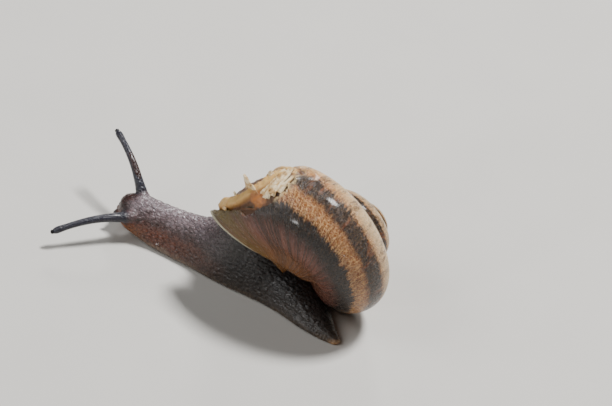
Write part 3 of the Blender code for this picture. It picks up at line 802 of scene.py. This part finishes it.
# %% Chips
CHIPS = [  # root and tip as angle and girth in degrees, then rise, width in mm, and a seed
    (-82, -29, -83, -20, 1.9, 4.0, 1.0), (-72, -38, -72, -33, 0.5, 1.1, 2.0),
    (-90, -12, -90, -4, 0.7, 1.3, 4.0), (-58, -42, -66, -53, 0.15, 0.7, 9.0),
    (-90, -26, -92, -6, 0.15, 0.7, 3.0), (-93, -33, -95, -4, 0.15, 0.8, 5.0),
    (-96, -37, -97, 2, 0.20, 0.8, 6.0), (-98, -36, -98, 6, 0.25, 0.9, 7.0),
    (-101, -31, -100, 9, 0.20, 0.9, 8.0), (-104, -24, -102, 10, 0.10, 0.8, 10.0),
    (-94, -13, -95, 11, 0.45, 0.8, 11.0), (-99, -5, -98, 14, 0.30, 0.8, 12.0),
]
CHIP_THICKNESS, CHIP_SINK = 0.3 * MM, 0.5  # how deep the root sits, in mm


def chip(number, root_angle, root_girth, tip_angle, tip_girth, rise, width, seed):
    """One chip, torn at its tip, narrower upwards, bent along the tube and curled across."""
    start_clean()
    bpy.ops.mesh.primitive_grid_add(x_subdivisions=14, y_subdivisions=16, size=1)
    piece = named(f"chip_{number}")
    across, up = corners(piece)[:, 0], corners(piece)[:, 1] + 0.5
    ends = np.radians([(root_angle, root_girth), (tip_angle, tip_girth)])
    root, tip = (coil(a[None], tube_section(g[None]))[0] / MM for a, g in ends)
    middle = coil(ends[:1, 0], TUBE_MIDDLE[None])[0] / MM
    outward = (root - middle) / np.linalg.norm(root - middle)
    rising = tip + outward * rise - root
    aside = np.cross(outward, rising)
    aside /= np.linalg.norm(aside)
    torn = 1 - 0.4 * abs(across * 2 - 0.5 * np.sin(seed)) ** 1.5 + 0.25 * ripple(across * 6, seed)
    narrow = 1 - 0.4 * up ** 1.5 + 0.15 * ripple(up * 4, seed + 9)
    along_tube = 0.9 * np.linalg.norm(tip - root) ** 2 / (2 * TUBE / MM) * up * (1 - up)
    bulge = along_tube + 0.10 * ripple(across * 4 + up * 2, seed) - 0.4 * width * across ** 2
    places = (root + np.outer(up * torn, rising) + np.outer(across * width * narrow, aside)
              + np.outer(bulge - CHIP_SINK * (1 - 0.6 * up), outward))
    move_corners(piece, place_shell(places * MM))
    apply_modifier(piece, "SOLIDIFY", thickness=CHIP_THICKNESS, offset=0)
    edit(piece, bpy.ops.mesh.normals_make_consistent, inside=False)
    return piece


chips = join([chip(number, *facts) for number, facts in enumerate(CHIPS, 1)])
chips.name = chips.data.name = "shell_chips"
activate(chips)
bpy.ops.object.shade_smooth_by_angle(angle=np.radians(40))
print(count(chips))

# %% [markdown]
# ## Eyes
# The eyes are black beads, hardly a millimetre across, at the tips of the long tentacles.

# %% Eye beads
EYE_SINK, EYE_FLATTEN = 0.12 * MM, 0.12  # how far a bead sits back in its tip, and its flatness


def eye_bead(side):
    low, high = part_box(f"eye_{side}")
    middle, radius = (low + high) / 2, (high - low).x / 2
    way = EYE_STALKS[side][1]
    start_clean()
    bpy.ops.mesh.primitive_uv_sphere_add(segments=32, ring_count=20, radius=radius)
    piece = named(f"eye_bead_{side}")
    way = np.array(way.normalized())
    places = corners(piece)
    places -= np.outer(places @ way, way) * EYE_FLATTEN
    move_corners(piece, places + np.array(middle) - way * EYE_SINK)
    activate(piece)
    bpy.ops.object.shade_smooth()
    return piece


eyes = {side: eye_bead(side) for side in EYE_STALKS}
print([count(eye) for eye in eyes.values()])

# %% [markdown]
# ## Colours and nodes
# Colours are written as they look on a screen and turned to linear light by one function. One more
# adds any node, with its settings, its links and the stops of its ramp, and a third lays tints over
# a colour one after another, as a painter lays glazes.

# %% Material helpers
BLEND = {"output": 2, "data_type": "RGBA"}  # what makes a Mix node blend two colours, 6 and 7


def linear(colour):
    """An sRGB hex colour as linear RGBA."""
    parts = [int(colour[i:i + 2], 16) / 255 for i in (1, 3, 5)]
    return (*(c / 12.92 if c <= 0.04045 else ((c + 0.055) / 1.055) ** 2.4 for c in parts), 1.0)


def add(tree, kind, inputs=None, output=0, stops=None, **settings):
    """Adds a node with its settings, inputs (values, colours or links) and stops; gives an output."""
    made = tree.nodes.new("ShaderNode" + kind)
    for name, value in settings.items():
        setattr(made, name, value)
    for socket, value in (inputs or {}).items():
        if isinstance(value, bpy.types.NodeSocket):
            tree.links.new(value, made.inputs[socket])
        else:
            made.inputs[socket].default_value = linear(value) if isinstance(value, str) else value
    if stops:
        ramp = made.color_ramp
        while len(ramp.elements) < len(stops):
            ramp.elements.new(1.0)
        for element, (place, colour) in zip(ramp.elements, stops):
            element.position = place
            element.color = linear(colour) if isinstance(colour, str) else (*[colour] * 3, 1.0)
    return made.outputs[output] if made.outputs else made


def glaze(tree, colour, *coats):
    """A colour under coats, each of them a factor that says where it lies, and its tint."""
    for factor, tint in coats:
        colour = add(tree, "Mix", {0: factor, 6: colour, 7: tint}, **BLEND)
    return colour


def start_material(name):
    made = bpy.data.materials.new(name)
    made.use_nodes = True
    made.node_tree.nodes.clear()
    return made, made.node_tree


def finish_material(tree, **inputs):
    shader = add(tree, "BsdfPrincipled", {k.replace("_", " "): v for k, v in inputs.items()})
    add(tree, "OutputMaterial", {"Surface": shader})

# %% [markdown]
# ## What varies over the shell
# A snail lays its shell down in fine growth lines, and bands run along the spiral with the growth.
# Both follow the shell map. Its first number counts turns, and a power of it gives the length grown
# in millimetres. The second is the girth. Each pattern has its real spacing, along and across.

# %% Shell patterns
RIM_RADIUS = 2.03  # of the coil's outer side at the zero angle, in half-widths
GROWN_MM = TUBE / MM * RIM_RADIUS / (np.log(WHORL_GROWTH) / TURN)  # length grown up to that angle
GIRTH_MM = TUBE / MM * TURN  # once round the last whorl's tube
SHELL_NOISES = {  # how many to a millimetre along and across the growth, and how rough
    "fine": ((3.2, 0.22), {"Detail": 4.0, "Roughness": 0.6, "Distortion": 0.15}),  # growth lines
    "broad": ((0.55, 0.12), {"Detail": 3.0, "Roughness": 0.6}),  # flames, some 2 mm apart
    "pauses": ((1.7, 0.035), {"Detail": 2.0, "Roughness": 0.5}),  # rests in growth, 0.6 mm apart
    "wrinkle": ((1.5, 1.0), {"Detail": 5.0, "Roughness": 0.62, "Distortion": 0.9})}  # hammering
WARP = 0.9  # mm, how far the crazing's threads stray


def shell_patterns(tree):
    """Sockets of all that the shell's colour and relief are made of, under their names."""
    place = add(tree, "UVMap", uv_map="shell_map")
    split = add(tree, "SeparateXYZ", {0: place}).node
    turns, girth = split.outputs["X"], split.outputs["Y"]
    size = add(tree, "Math", {0: WHORL_GROWTH, 1: turns}, operation="POWER")
    grown = add(tree, "Math", {0: size, 1: GROWN_MM}, operation="MULTIPLY")
    around = add(tree, "Math", {0: girth, 1: GIRTH_MM}, operation="MULTIPLY")
    spread = add(tree, "CombineXYZ", {"X": grown, "Y": around})
    found = {"turns": turns, "girth": girth}
    for name, (per_mm, settings) in SHELL_NOISES.items():
        scaled = add(tree, "Mapping", {"Vector": spread, "Scale": (*per_mm, 1)})
        found[name] = add(tree, "TexNoise", {"Vector": scaled, "Scale": 1.0, **settings},
                          noise_dimensions="2D")
    stray = add(tree, "TexNoise", {"Vector": spread, "Scale": 1.1, "Detail": 3.0}, "Color",
                noise_dimensions="2D")
    warped = add(tree, "VectorMath", {0: stray, 1: (WARP, WARP, 0), 2: spread},
                 operation="MULTIPLY_ADD")
    for name, base, per_mm in (("crackle", spread, (1.6, 0.85)), ("coarse", warped, (1.1, 0.9)),
                               ("close", warped, (2.3, 1.9))):
        scaled = add(tree, "Mapping", {"Vector": base, "Scale": (*per_mm, 1)})
        found[name] = add(tree, "TexVoronoi", {"Vector": scaled, "Scale": 1.0, "Randomness": 1.0},
                          "Distance", feature="DISTANCE_TO_EDGE", voronoi_dimensions="2D")
    found["net"] = add(tree, "Math", {0: found["coarse"], 1: found["close"]}, operation="MINIMUM")
    found["on_base"] = add(tree, "MapRange", {"Value": girth, "From Min": -22 / 360,
                                              "From Max": -32 / 360})
    return SimpleNamespace(**found)


print("length grown up to the zero angle:", round(GROWN_MM, 1), "mm")

# %% [markdown]
# ## Bands, flames and crazing
# Dark bands lie on a horn ground. Their edges wander with the growth lines, pale flames cut through
# them, and a net of fine cream threads covers the light bands, which pale away from the break.

# %% Band colours
GROUND = [  # girth in degrees, and colour
    (-150, "#5c3818"), (-118, "#85501c"), (-98, "#85553a"), (-80, "#7c4c3e"), (-62, "#5a342c"),
    (-48, "#2a1614"), (-31, "#7c3a12"), (-18, "#94501e"), (-8, "#7a3a18"), (18, "#7a4224"),
    (24, "#b87038"), (36, "#d8a468"), (54, "#e0bc84"), (80, "#c88c40"), (101, "#a8742e")]
DARK_BANDS = [  # girth in degrees, and how dark
    (-62, 0.0), (-50, 0.85), (-46, 1.0), (-34, 1.0), (-30, 0.10), (-12, 0.05), (-6, 1.0), (14, 1.0),
    (20, 0.05), (52, 0.05), (58, 0.9), (70, 0.9), (76, 0.05)]
CRAZED = [  # girth in degrees, and how much crazing
    (-64, 0.05), (-50, 0.06), (-34, 0.08), (-29, 0.85), (-13, 0.85), (-6, 0.12), (14, 0.12),
    (22, 0.8), (90, 0.7)]
WANDER = {"fine": 0.024, "broad": 0.036, "wrinkle": 0.030}  # of a whole girth


def round_the_girth(stops):
    """Stops in degrees of girth as places on a ramp from -180 to 180 degrees."""
    return [(degrees / 360 + 0.5, value) for degrees, value in stops]


def dark_bands(tree, at, place):
    """Where it is dark: flames cut the bands along the growth lines, and flecks thin them."""
    dark = add(tree, "ValToRGB", {"Fac": place}, stops=round_the_girth(DARK_BANDS))
    flame = add(tree, "ValToRGB", {"Fac": at.broad}, stops=[
        (0.0, 1.0), (0.56, 1.0), (0.68, 0.25), (1.0, 0.1)])
    flame = glaze(tree, flame, (at.on_base, "#ffffff"))
    flecks = add(tree, "ValToRGB", {"Fac": at.wrinkle}, stops=[
        (0.0, 1.0), (0.60, 1.0), (0.70, 0.7), (1.0, 0.5)])
    for thinner in (flame, flecks, 0.95):
        dark = add(tree, "Math", {0: dark, 1: thinner}, operation="MULTIPLY")
    return dark


def cream_crazing(tree, at, place):
    """Where it is cream: threads between the cells of a net, and blotches on the wrinkles."""
    cream = add(tree, "ValToRGB", {"Fac": at.net}, stops=[
        (0.0, 1.0), (0.04, 0.85), (0.11, 0.0), (1.0, 0.0)])
    thread = add(tree, "ValToRGB", {"Fac": at.fine}, stops=[
        (0.0, 0.15), (0.42, 0.4), (0.58, 1.0), (1.0, 1.0)])
    cream = add(tree, "Math", {0: cream, 1: thread}, operation="MULTIPLY")
    blotch = add(tree, "ValToRGB", {"Fac": at.wrinkle}, stops=[
        (0.0, 0.0), (0.50, 0.1), (0.66, 0.8), (1.0, 1.0)])
    blotch = add(tree, "Math", {0: blotch, 1: 0.45}, operation="MULTIPLY")
    cream = add(tree, "Math", {0: cream, 1: blotch}, operation="MAXIMUM")
    crazed = add(tree, "ValToRGB", {"Fac": place}, stops=round_the_girth(CRAZED))
    return add(tree, "Math", {0: cream, 1: crazed}, operation="MULTIPLY")


def upper_band(tree, at):
    """Two coats of the upper light band: it pales away from the break and has brown shadows."""
    upper = add(tree, "MapRange", {"Value": at.girth, "From Min": 16 / 360, "From Max": 26 / 360})
    pale = add(tree, "MapRange", {"Value": at.turns, "From Min": -0.30, "From Max": -0.42,
                                  "To Max": 0.55})
    shade = add(tree, "ValToRGB", {"Fac": at.broad}, stops=[
        (0.0, 0.9), (0.40, 0.8), (0.50, 0.0), (1.0, 0.0)])
    pale, shade = (add(tree, "Math", {0: part, 1: upper}, operation="MULTIPLY")
                   for part in (pale, shade))
    return (pale, "#e4cfa8"), (shade, "#5a3618")


def banded_colour(tree, at):
    place = add(tree, "Math", {0: at.girth, 1: 0.5 - sum(WANDER.values()) / 2}, operation="ADD")
    for name, amount in WANDER.items():
        place = add(tree, "Math", {0: getattr(at, name), 1: amount, 2: place},
                    operation="MULTIPLY_ADD")
    ground = add(tree, "ValToRGB", {"Fac": place}, stops=round_the_girth(GROUND))
    streaks = add(tree, "ValToRGB", {"Fac": at.fine}, stops=[
        (0.0, 0.3), (0.38, 0.72), (0.56, 1.08), (1.0, 1.5)])
    colour = add(tree, "Mix", {0: 1.0, 6: ground, 7: streaks}, blend_type="MULTIPLY", **BLEND)
    rests = add(tree, "ValToRGB", {"Fac": at.pauses}, stops=[
        (0.0, 0.8), (0.40, 0.68), (0.49, 0.0), (1.0, 0.0)])
    rests = add(tree, "Math", {0: rests, 1: at.on_base}, operation="MULTIPLY")
    return glaze(tree, colour, (rests, "#2e1a0e"), *upper_band(tree, at),
                 (dark_bands(tree, at, place), "#0b090f"), (cream_crazing(tree, at, place), "#f0c283"))

# %% [markdown]
# ## The shell's edges
# The last millimetres grown are thin and olive, pale at the very lip, and amber near the axis. Just
# behind the break the old shell is bleached. The lining of the mouth is a plain brown. Bleach and
# lining are stored on the points, because they follow the break and not the map.

# %% Edge colours
BLEACH_REACH, BLEACH_RAGGED = np.radians((3.5, 1.5))  # how far behind the break, and how unevenly
BLEACHED = np.radians((-40, -28, 30))  # girth where it starts, where it is full, and where it ends


def edge_coats(tree, at):
    young = add(tree, "Math", {0: at.turns, 1: LIP / TURN}, operation="SUBTRACT")
    olive = add(tree, "MapRange", {"Value": young, "From Min": -0.10, "From Max": -0.01})
    uneven = add(tree, "ValToRGB", {"Fac": at.broad}, stops=[(0.35, 0.35), (0.6, 0.9)])
    olive = add(tree, "Math", {0: olive, 1: uneven}, operation="MULTIPLY")
    lip = add(tree, "MapRange", {"Value": young, "From Min": -0.0065, "From Max": -0.003})
    near_axis = add(tree, "MapRange", {"Value": at.girth, "From Min": -88 / 360,
                                       "From Max": -122 / 360})
    late = add(tree, "MapRange", {"Value": young, "From Min": -0.34, "From Max": -0.12,
                                  "To Max": 0.6})
    amber = add(tree, "Math", {0: near_axis, 1: late}, operation="MULTIPLY")
    bleach = add(tree, "Attribute", output="Fac", attribute_name="bleach")
    fluted = add(tree, "ValToRGB", {"Fac": at.fine}, stops=[(0.3, 0.35), (0.55, 1.0)])
    bleach = add(tree, "Math", {0: bleach, 1: fluted}, operation="MULTIPLY")
    inside = add(tree, "Attribute", output="Fac", attribute_name="inside")
    return ((olive, "#75601c"), (lip, "#c9c3a5"), (amber, "#8a5412"), (bleach, "#e6cc9a"),
            (inside, "#5a3c28"))


def mark_bleach(piece):
    """Stores how bleached the old shell is, from 1 at the break's upper part to 0 behind it."""
    growth, girth = corner_mean(piece, shell_places(piece)).T
    behind = fracture_line(girth) - leaning(growth, girth)
    near = 1 - smooth_between(0, BLEACH_REACH, behind + BLEACH_RAGGED * ripple(girth * 24, 5.5))
    crown = smooth_between(*BLEACHED[:2], girth) * (girth < BLEACHED[2])
    store(piece, "bleach", near * crown * (growth > LAST_TURN))


mark_bleach(shell)
print("most bleached:", round(read(shell, "bleach").max(), 2))

# %% [markdown]
# ## Banded shell
# Snail shell is aragonite under a thin horny skin, glossy and hammered. The bump carries the growth
# lines, the wrinkles and the raised threads of the net, and a finer one breaks each glint up.

# %% Shell material
def shell_material():
    made, tree = start_material("aragonite_banded_horn")
    at = shell_patterns(tree)
    colour = glaze(tree, banded_colour(tree, at), *edge_coats(tree, at))
    thread = add(tree, "Math", {0: at.net, 1: 0.15}, operation="MINIMUM")
    relief = add(tree, "Math", {0: at.wrinkle, 1: 0.9}, operation="MULTIPLY")
    for part, amount in ((at.fine, 0.35), (at.crackle, 0.35), (thread, -1.2)):
        relief = add(tree, "Math", {0: part, 1: amount, 2: relief}, operation="MULTIPLY_ADD")
    bump = add(tree, "Bump", {"Height": relief, "Strength": 1.0, "Distance": 0.28 * MM})
    solid = add(tree, "TexCoord", output="Object")
    in_mm = add(tree, "Mapping", {"Vector": solid, "Scale": (1000,) * 3})
    pits = add(tree, "TexNoise", {"Vector": in_mm, "Scale": 5.0, "Detail": 2.0})  # 0.2 mm apart
    bump = add(tree, "Bump", {"Height": pits, "Strength": 1.0, "Distance": 0.10 * MM, "Normal": bump})
    gloss = add(tree, "MapRange", {"Value": at.wrinkle, "From Min": 0.3, "From Max": 0.7,
                                   "To Min": 0.16, "To Max": 0.32})
    finish_material(tree, Base_Color=colour, Roughness=gloss, IOR=1.50, Coat_Weight=0.15,
                    Coat_Roughness=0.12, Normal=bump)
    return made


shell.data.materials.append(shell_material())
print("nodes of the shell's material:", len(shell.data.materials[0].node_tree.nodes))

# %% [markdown]
# ## New shell
# New shell is conchiolin with little lime: thin, horn brown and without bands, with a soft sheen.
# Its crest is tan, lightened with painted light, and its trough darker brown, deepened with painted
# shade. A rust patch and a dark pit mark where it is thinnest, and the pit's near-black middle is
# painted shade.

# %% Mend material
SPOT_STRAY, SPOT_EDGE = 1.8, (1.0, 0.6)  # of a spot's size: how uneven it is, and its soft edge


def near_spot(tree, place, soft, spot, wide, tall):
    """1 inside a soft-edged spot on the shell map, so many degrees wide and tall, and 0 outside."""
    angle, girth = np.degrees(spot)
    shifted = add(tree, "Mapping", {"Vector": place, "Location": (-angle / wide, -girth / tall, 0),
                                    "Scale": (360 / wide, 360 / tall, 1)})
    away = add(tree, "VectorMath", {0: shifted}, "Value", operation="LENGTH")
    away = add(tree, "Math", {0: away, 1: -SPOT_STRAY / 2}, operation="ADD")
    away = add(tree, "Math", {0: soft, 1: SPOT_STRAY, 2: away}, operation="MULTIPLY_ADD")
    return add(tree, "MapRange", {"Value": away, "From Min": SPOT_EDGE[0], "From Max": SPOT_EDGE[1]})


def mend_material():
    made, tree = start_material("new_conchiolin_shell")
    place = add(tree, "UVMap", uv_map="shell_map")
    rise = add(tree, "Attribute", output="Fac", attribute_name="rise")
    solid = add(tree, "TexCoord", output="Object")
    soft = add(tree, "TexNoise", {"Vector": solid, "Scale": 900.0, "Detail": 4.0, "Roughness": 0.6})
    grain = add(tree, "TexNoise", {"Vector": solid, "Scale": 3000.0, "Detail": 3.0})
    # Painted light and shade: following rise, the horn colour runs from dark brown in the trough to
    # light tan on the crest.
    level = add(tree, "Math", {0: rise, 1: -0.25}, operation="ADD")
    level = add(tree, "Math", {0: soft, 1: 0.5, 2: level}, operation="MULTIPLY_ADD")
    horn = add(tree, "ValToRGB", {"Fac": level}, stops=[
        (0.0, "#553519"), (0.18, "#7c5226"), (0.42, "#9c6c30"), (0.7, "#ba8a4a"), (1.0, "#d0a868")])
    # The pit's near-black middle is painted shade inside it.
    colour = glaze(tree, horn, (near_spot(tree, place, soft, RUST_PATCH, 9, 12), "#b0703a"),
                   (near_spot(tree, place, soft, DARK_PIT, 5, 7), "#7d7a6c"),
                   (near_spot(tree, place, soft, DARK_PIT, 3, 4), "#14100f"))
    relief = add(tree, "Math", {0: grain, 1: 0.4, 2: soft}, operation="MULTIPLY_ADD")
    bump = add(tree, "Bump", {"Height": relief, "Strength": 0.8, "Distance": 0.2 * MM})
    finish_material(tree, Base_Color=colour, Roughness=0.42, IOR=1.53, Subsurface_Weight=0.15,
                    Subsurface_Radius=(1.0, 0.5, 0.25), Subsurface_Scale=0.4 * MM, Normal=bump)
    return made


mend.data.materials.append(mend_material())
print("nodes of the mend's material:", len(mend.data.materials[0].node_tree.nodes))

# %% [markdown]
# ## Broken shell
# The chips are bare old shell without its horny skin: chalky, matt, and cream to tan where it split
# in thin layers, which show as a fine grain across the splinters.

# %% Chip material
def chip_material():
    made, tree = start_material("chalky_broken_shell")
    solid = add(tree, "TexCoord", output="Object")
    cloud = add(tree, "TexNoise", {"Vector": solid, "Scale": 1100.0, "Detail": 4.0})
    layered = add(tree, "Mapping", {"Vector": solid, "Scale": (5000, 5000, 900)})
    split = add(tree, "TexNoise", {"Vector": layered, "Scale": 1.0})
    colour = add(tree, "ValToRGB", {"Fac": cloud}, stops=[
        (0.3, "#8c6234"), (0.45, "#d2ae78"), (0.6, "#f2e0ba")])
    bump = add(tree, "Bump", {"Height": split, "Strength": 0.8, "Distance": 0.15 * MM})
    finish_material(tree, Base_Color=colour, Roughness=0.55, IOR=1.53, Normal=bump)
    return made


chips.data.materials.append(chip_material())
print("nodes of the chips' material:", len(chips.data.materials[0].node_tree.nodes))

# %% [markdown]
# ## Colours of the skin
# The back of the neck is grey-brown, lighter lilac grey on top where painted sheen stands for its
# wet shine, the flanks red-brown, the edge of the foot paler, and the part under the shell nearly
# black, which is painted shade there and the tail's own dark grey-brown further back. The tentacles
# are slate. Which point lies on a tentacle is stored on the points, and all other tints follow the
# place in millimetres from the tail tip.

# %% Skin colours
SKIN_ZONES = {  # mm from the tail tip where a zone starts and is full, along the body and in height
    "chin": ((-36.0, -39.5), (3.6, 2.0)), "brow": ((-39.8, -41.2), (3.6, 4.8)),
    "tail tip": ((-1.6, 0.2), (1.0, 0.3))}
FLANK_TOP = 7.0  # mm, where the flank's tints end in those of the back
TINT_STRAY = 2.4  # mm, how far these tints stray up and down
STALK_FROM, STALK_NEAR = (0.2, 1.6), 1.6  # mm out from its base, and from its axis


def mark_stalks(piece):
    """Stores how far each point stands out on a tentacle, from 0 on the head to 1 on the shaft."""
    local = (corners(piece) - np.array(TAIL_TIP)) / MM
    stalk = np.zeros(len(local))
    for base, way, length, _ in [*EYE_STALKS.values(), *FEELERS.values()]:
        way = np.array(way.normalized())
        out = (local - np.array(base)) @ way
        off = np.linalg.norm(local - np.array(base) - np.outer(out, way), axis=1)
        on_it = (off < STALK_NEAR) & (out < length + 2)
        stalk = np.maximum(stalk, smooth_between(*STALK_FROM, out) * on_it)
    store(piece, "stalk", stalk)


def skin_zones(tree, along, up):
    """For each zone a factor that is 1 where both its ranges are full."""
    zones = {}
    for name, ranges in SKIN_ZONES.items():
        parts = [add(tree, "MapRange", {"Value": value, "From Min": start, "From Max": full})
                 for value, (start, full) in zip((along, up), ranges)]
        zones[name] = add(tree, "Math", {0: parts[0], 1: parts[1]}, operation="MULTIPLY")
    return zones


def skin_colour(tree, place, grain, groove):
    split = add(tree, "SeparateXYZ", {0: place}).node
    along, up = split.outputs["X"], split.outputs["Z"]
    zones = skin_zones(tree, along, up)
    cloud = add(tree, "TexNoise", {"Vector": place, "Scale": 0.45, "Detail": 3.0, "Roughness": 0.6})
    height = add(tree, "Math", {0: up, 1: -TINT_STRAY / 2}, operation="ADD")
    height = add(tree, "Math", {0: cloud, 1: TINT_STRAY, 2: height}, operation="MULTIPLY_ADD")
    flank = add(tree, "MapRange", {"Value": height, "From Min": 0.0, "From Max": FLANK_TOP})
    # Partly painted sheen: the top stop's lighter lilac grey stands for the wet shine on the back,
    # whose own colour is the darker slate-brown below it.
    neck = add(tree, "ValToRGB", {"Fac": flank}, stops=[
        (0.0, "#6b5d52"), (0.12, "#6e5747"), (0.2, "#5a3425"), (0.42, "#6e4031"),
        (0.62, "#5a4442"), (0.85, "#7b6c70")])
    # Painted shade: from 33 mm before the tail tip on, the skin turns nearly black. Under the shell
    # this stands for its shade; on the tail behind it, it is the tail's own dark grey-brown.
    dark_tail_and_painted_shade = add(tree, "ValToRGB", {"Fac": flank}, stops=[
        (0.0, "#5e4f3f"), (0.2, "#3b342f"), (0.6, "#2f2c2b")])
    under = add(tree, "MapRange", {"Value": along, "From Min": -33.0, "From Max": -21.0})
    # The grooves between the tubercles are darkened towards black-brown: painted shade in the creases.
    colour = glaze(tree, neck, (under, dark_tail_and_painted_shade), (zones["chin"], "#7e4d2a"),
                   (zones["brow"], "#3a2624"), (groove, "#1d1513"))
    speckle = add(tree, "ValToRGB", {"Fac": grain}, stops=[(0.3, 0.75), (0.5, 1.0), (0.72, 1.35)])
    colour = add(tree, "Mix", {0: 1.0, 6: colour, 7: speckle}, blend_type="MULTIPLY", **BLEND)
    slate = add(tree, "Mix", {0: grain, 6: "#25242b", 7: "#3b3a44"}, **BLEND)
    stalks = add(tree, "Attribute", output="Fac", attribute_name="stalk")
    return glaze(tree, colour, (stalks, slate), (zones["tail tip"], "#e0b080"))


mark_stalks(skin)
print("points on tentacles:", int((read(skin, "stalk") > 0.5).sum()))

# %% [markdown]
# ## Wet skin
# Snail skin is soft, dark and wet. Slime fills the grooves between the tubercles and shines, so the
# gloss is strong and broken up by the bump, and a little light goes in and comes out redder. The
# eyes are wet black beads.

# %% Skin and eye materials
def skin_material():
    made, tree = start_material("wet_mollusc_skin")
    solid = add(tree, "TexCoord", output="Object")
    place = add(tree, "Mapping", {"Vector": solid, "Location": [-v / MM for v in TAIL_TIP],
                                  "Scale": (1000,) * 3})  # mm from the tail tip
    cells = add(tree, "Mapping", {"Vector": place, "Scale": tuple(1 / TUBERCLE)})
    wart = add(tree, "TexVoronoi", {"Vector": cells, "Scale": 1.0}, "Distance",
               feature="DISTANCE_TO_EDGE")
    grain = add(tree, "TexNoise", {"Vector": place, "Scale": 6.0, "Detail": 3.0})
    # Painted shade: groove marks the creases between the tubercles, which the colour darkens.
    groove = add(tree, "MapRange", {"Value": wart, "From Min": 0.14, "From Max": 0.0, "To Max": 0.6})
    wart = add(tree, "Math", {0: wart, 1: 0.3}, operation="MINIMUM")
    relief = add(tree, "Math", {0: grain, 1: 0.35, 2: wart}, operation="MULTIPLY_ADD")
    bump = add(tree, "Bump", {"Height": relief, "Strength": 1.0, "Distance": 0.18 * MM})
    wet = add(tree, "MapRange", {"Value": grain, "From Min": 0.3, "From Max": 0.7,
                                 "To Min": 0.22, "To Max": 0.42})
    finish_material(tree, Base_Color=skin_colour(tree, place, grain, groove), Roughness=wet,
                    IOR=1.40, Coat_Weight=0.35, Coat_Roughness=0.12, Coat_IOR=1.33,
                    Subsurface_Weight=0.12, Subsurface_Radius=(1.0, 0.45, 0.3),
                    Subsurface_Scale=0.5 * MM, Normal=bump)
    return made


def eye_material():
    made, tree = start_material("wet_black_eye")
    solid = add(tree, "TexCoord", output="Object")
    haze = add(tree, "TexNoise", {"Vector": solid, "Scale": 4000.0})
    colour = add(tree, "Mix", {0: haze, 6: "#08070a", 7: "#1c1a20"}, **BLEND)
    finish_material(tree, Base_Color=colour, Roughness=0.12, IOR=1.38)
    return made


skin.data.materials.append(skin_material())
eye_finish = eye_material()
for eye in eyes.values():
    eye.data.materials.append(eye_finish)
print("materials:", [made.name for made in bpy.data.materials if made.users])

# %% [markdown]
# ## What each piece stands for
# The solid model keeps its nodes for weight and contact. Each fine piece rides on the one body, and
# the nodes that it stands for are hidden; its line in the table also gives the slot of the record that
# holds its finish.

# %% Rides, nodes and slots
FLESH = ["mantle", "head", "neck", "trunk", "tail", "tail_tip", "upper_tentacle_left",
         "upper_tentacle_right", "lower_tentacle_left", "lower_tentacle_right"]
for piece, nodes, slot in [
        (shell, ["shell"], "shell_horn"),
        (mend, ["shell_repair"], "shell_new"),
        (chips, ["shell_flake_1", "shell_flake_2", "shell_flake_3"], "shell_chip"),
        (skin, FLESH, "skin"),
        (eyes["left"], ["eye_left"], "eye"),
        (eyes["right"], ["eye_right"], "eye")]:
    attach(piece, "root")
    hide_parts(*nodes)
    print(piece.name, "stands for", ", ".join(nodes))

# %% [markdown]
# ## Floor and light
# The model stands on a plain pale floor of matt board. Each lamp is a soft square that looks at the
# snail: the key from high up behind it, a wider fill from over its head, a small one low on the
# camera's side for glints on the shell's base, and a rim light from beyond its head.

# %% Stage
def floor_material():
    made, tree = start_material("pale_matt_board")
    solid = add(tree, "TexCoord", output="Object")
    mottle = add(tree, "TexNoise", {"Vector": solid, "Scale": 60.0})
    colour = add(tree, "Mix", {0: mottle, 6: "#cfccc6", 7: "#d6d3cd"}, **BLEND)
    finish_material(tree, Base_Color=colour, Roughness=0.8)
    return made


start_clean()
bpy.ops.mesh.primitive_plane_add(size=6)
floor = named("floor")
floor.data.materials.append(floor_material())

LAMPS = {  # place in metres, side of the square in metres, power in watts
    "key": ((0.10, 0.24, 0.60), 0.12, 6.6), "fill": ((-0.30, -0.35, 0.45), 0.30, 1.5),
    "glint": ((-0.06, -0.55, 0.20), 0.05, 0.6), "rim": ((-0.32, 0.50, 0.26), 0.10, 1.2)}
WORLD_STRENGTH = 0.22

for name, (place, size, power) in LAMPS.items():
    lamp = bpy.data.objects.new(name, bpy.data.lights.new(name, "AREA"))
    lamp.data.energy, lamp.data.size, lamp.location = power, size, place
    lamp.rotation_euler = (VIEW_CENTRE - Vector(place)).to_track_quat("-Z", "Y").to_euler()
    bpy.context.scene.collection.objects.link(lamp)
world = bpy.data.worlds.new("studio")
bpy.context.scene.world = world
world.use_nodes = True
world.node_tree.nodes["Background"].inputs["Strength"].default_value = WORLD_STRENGTH
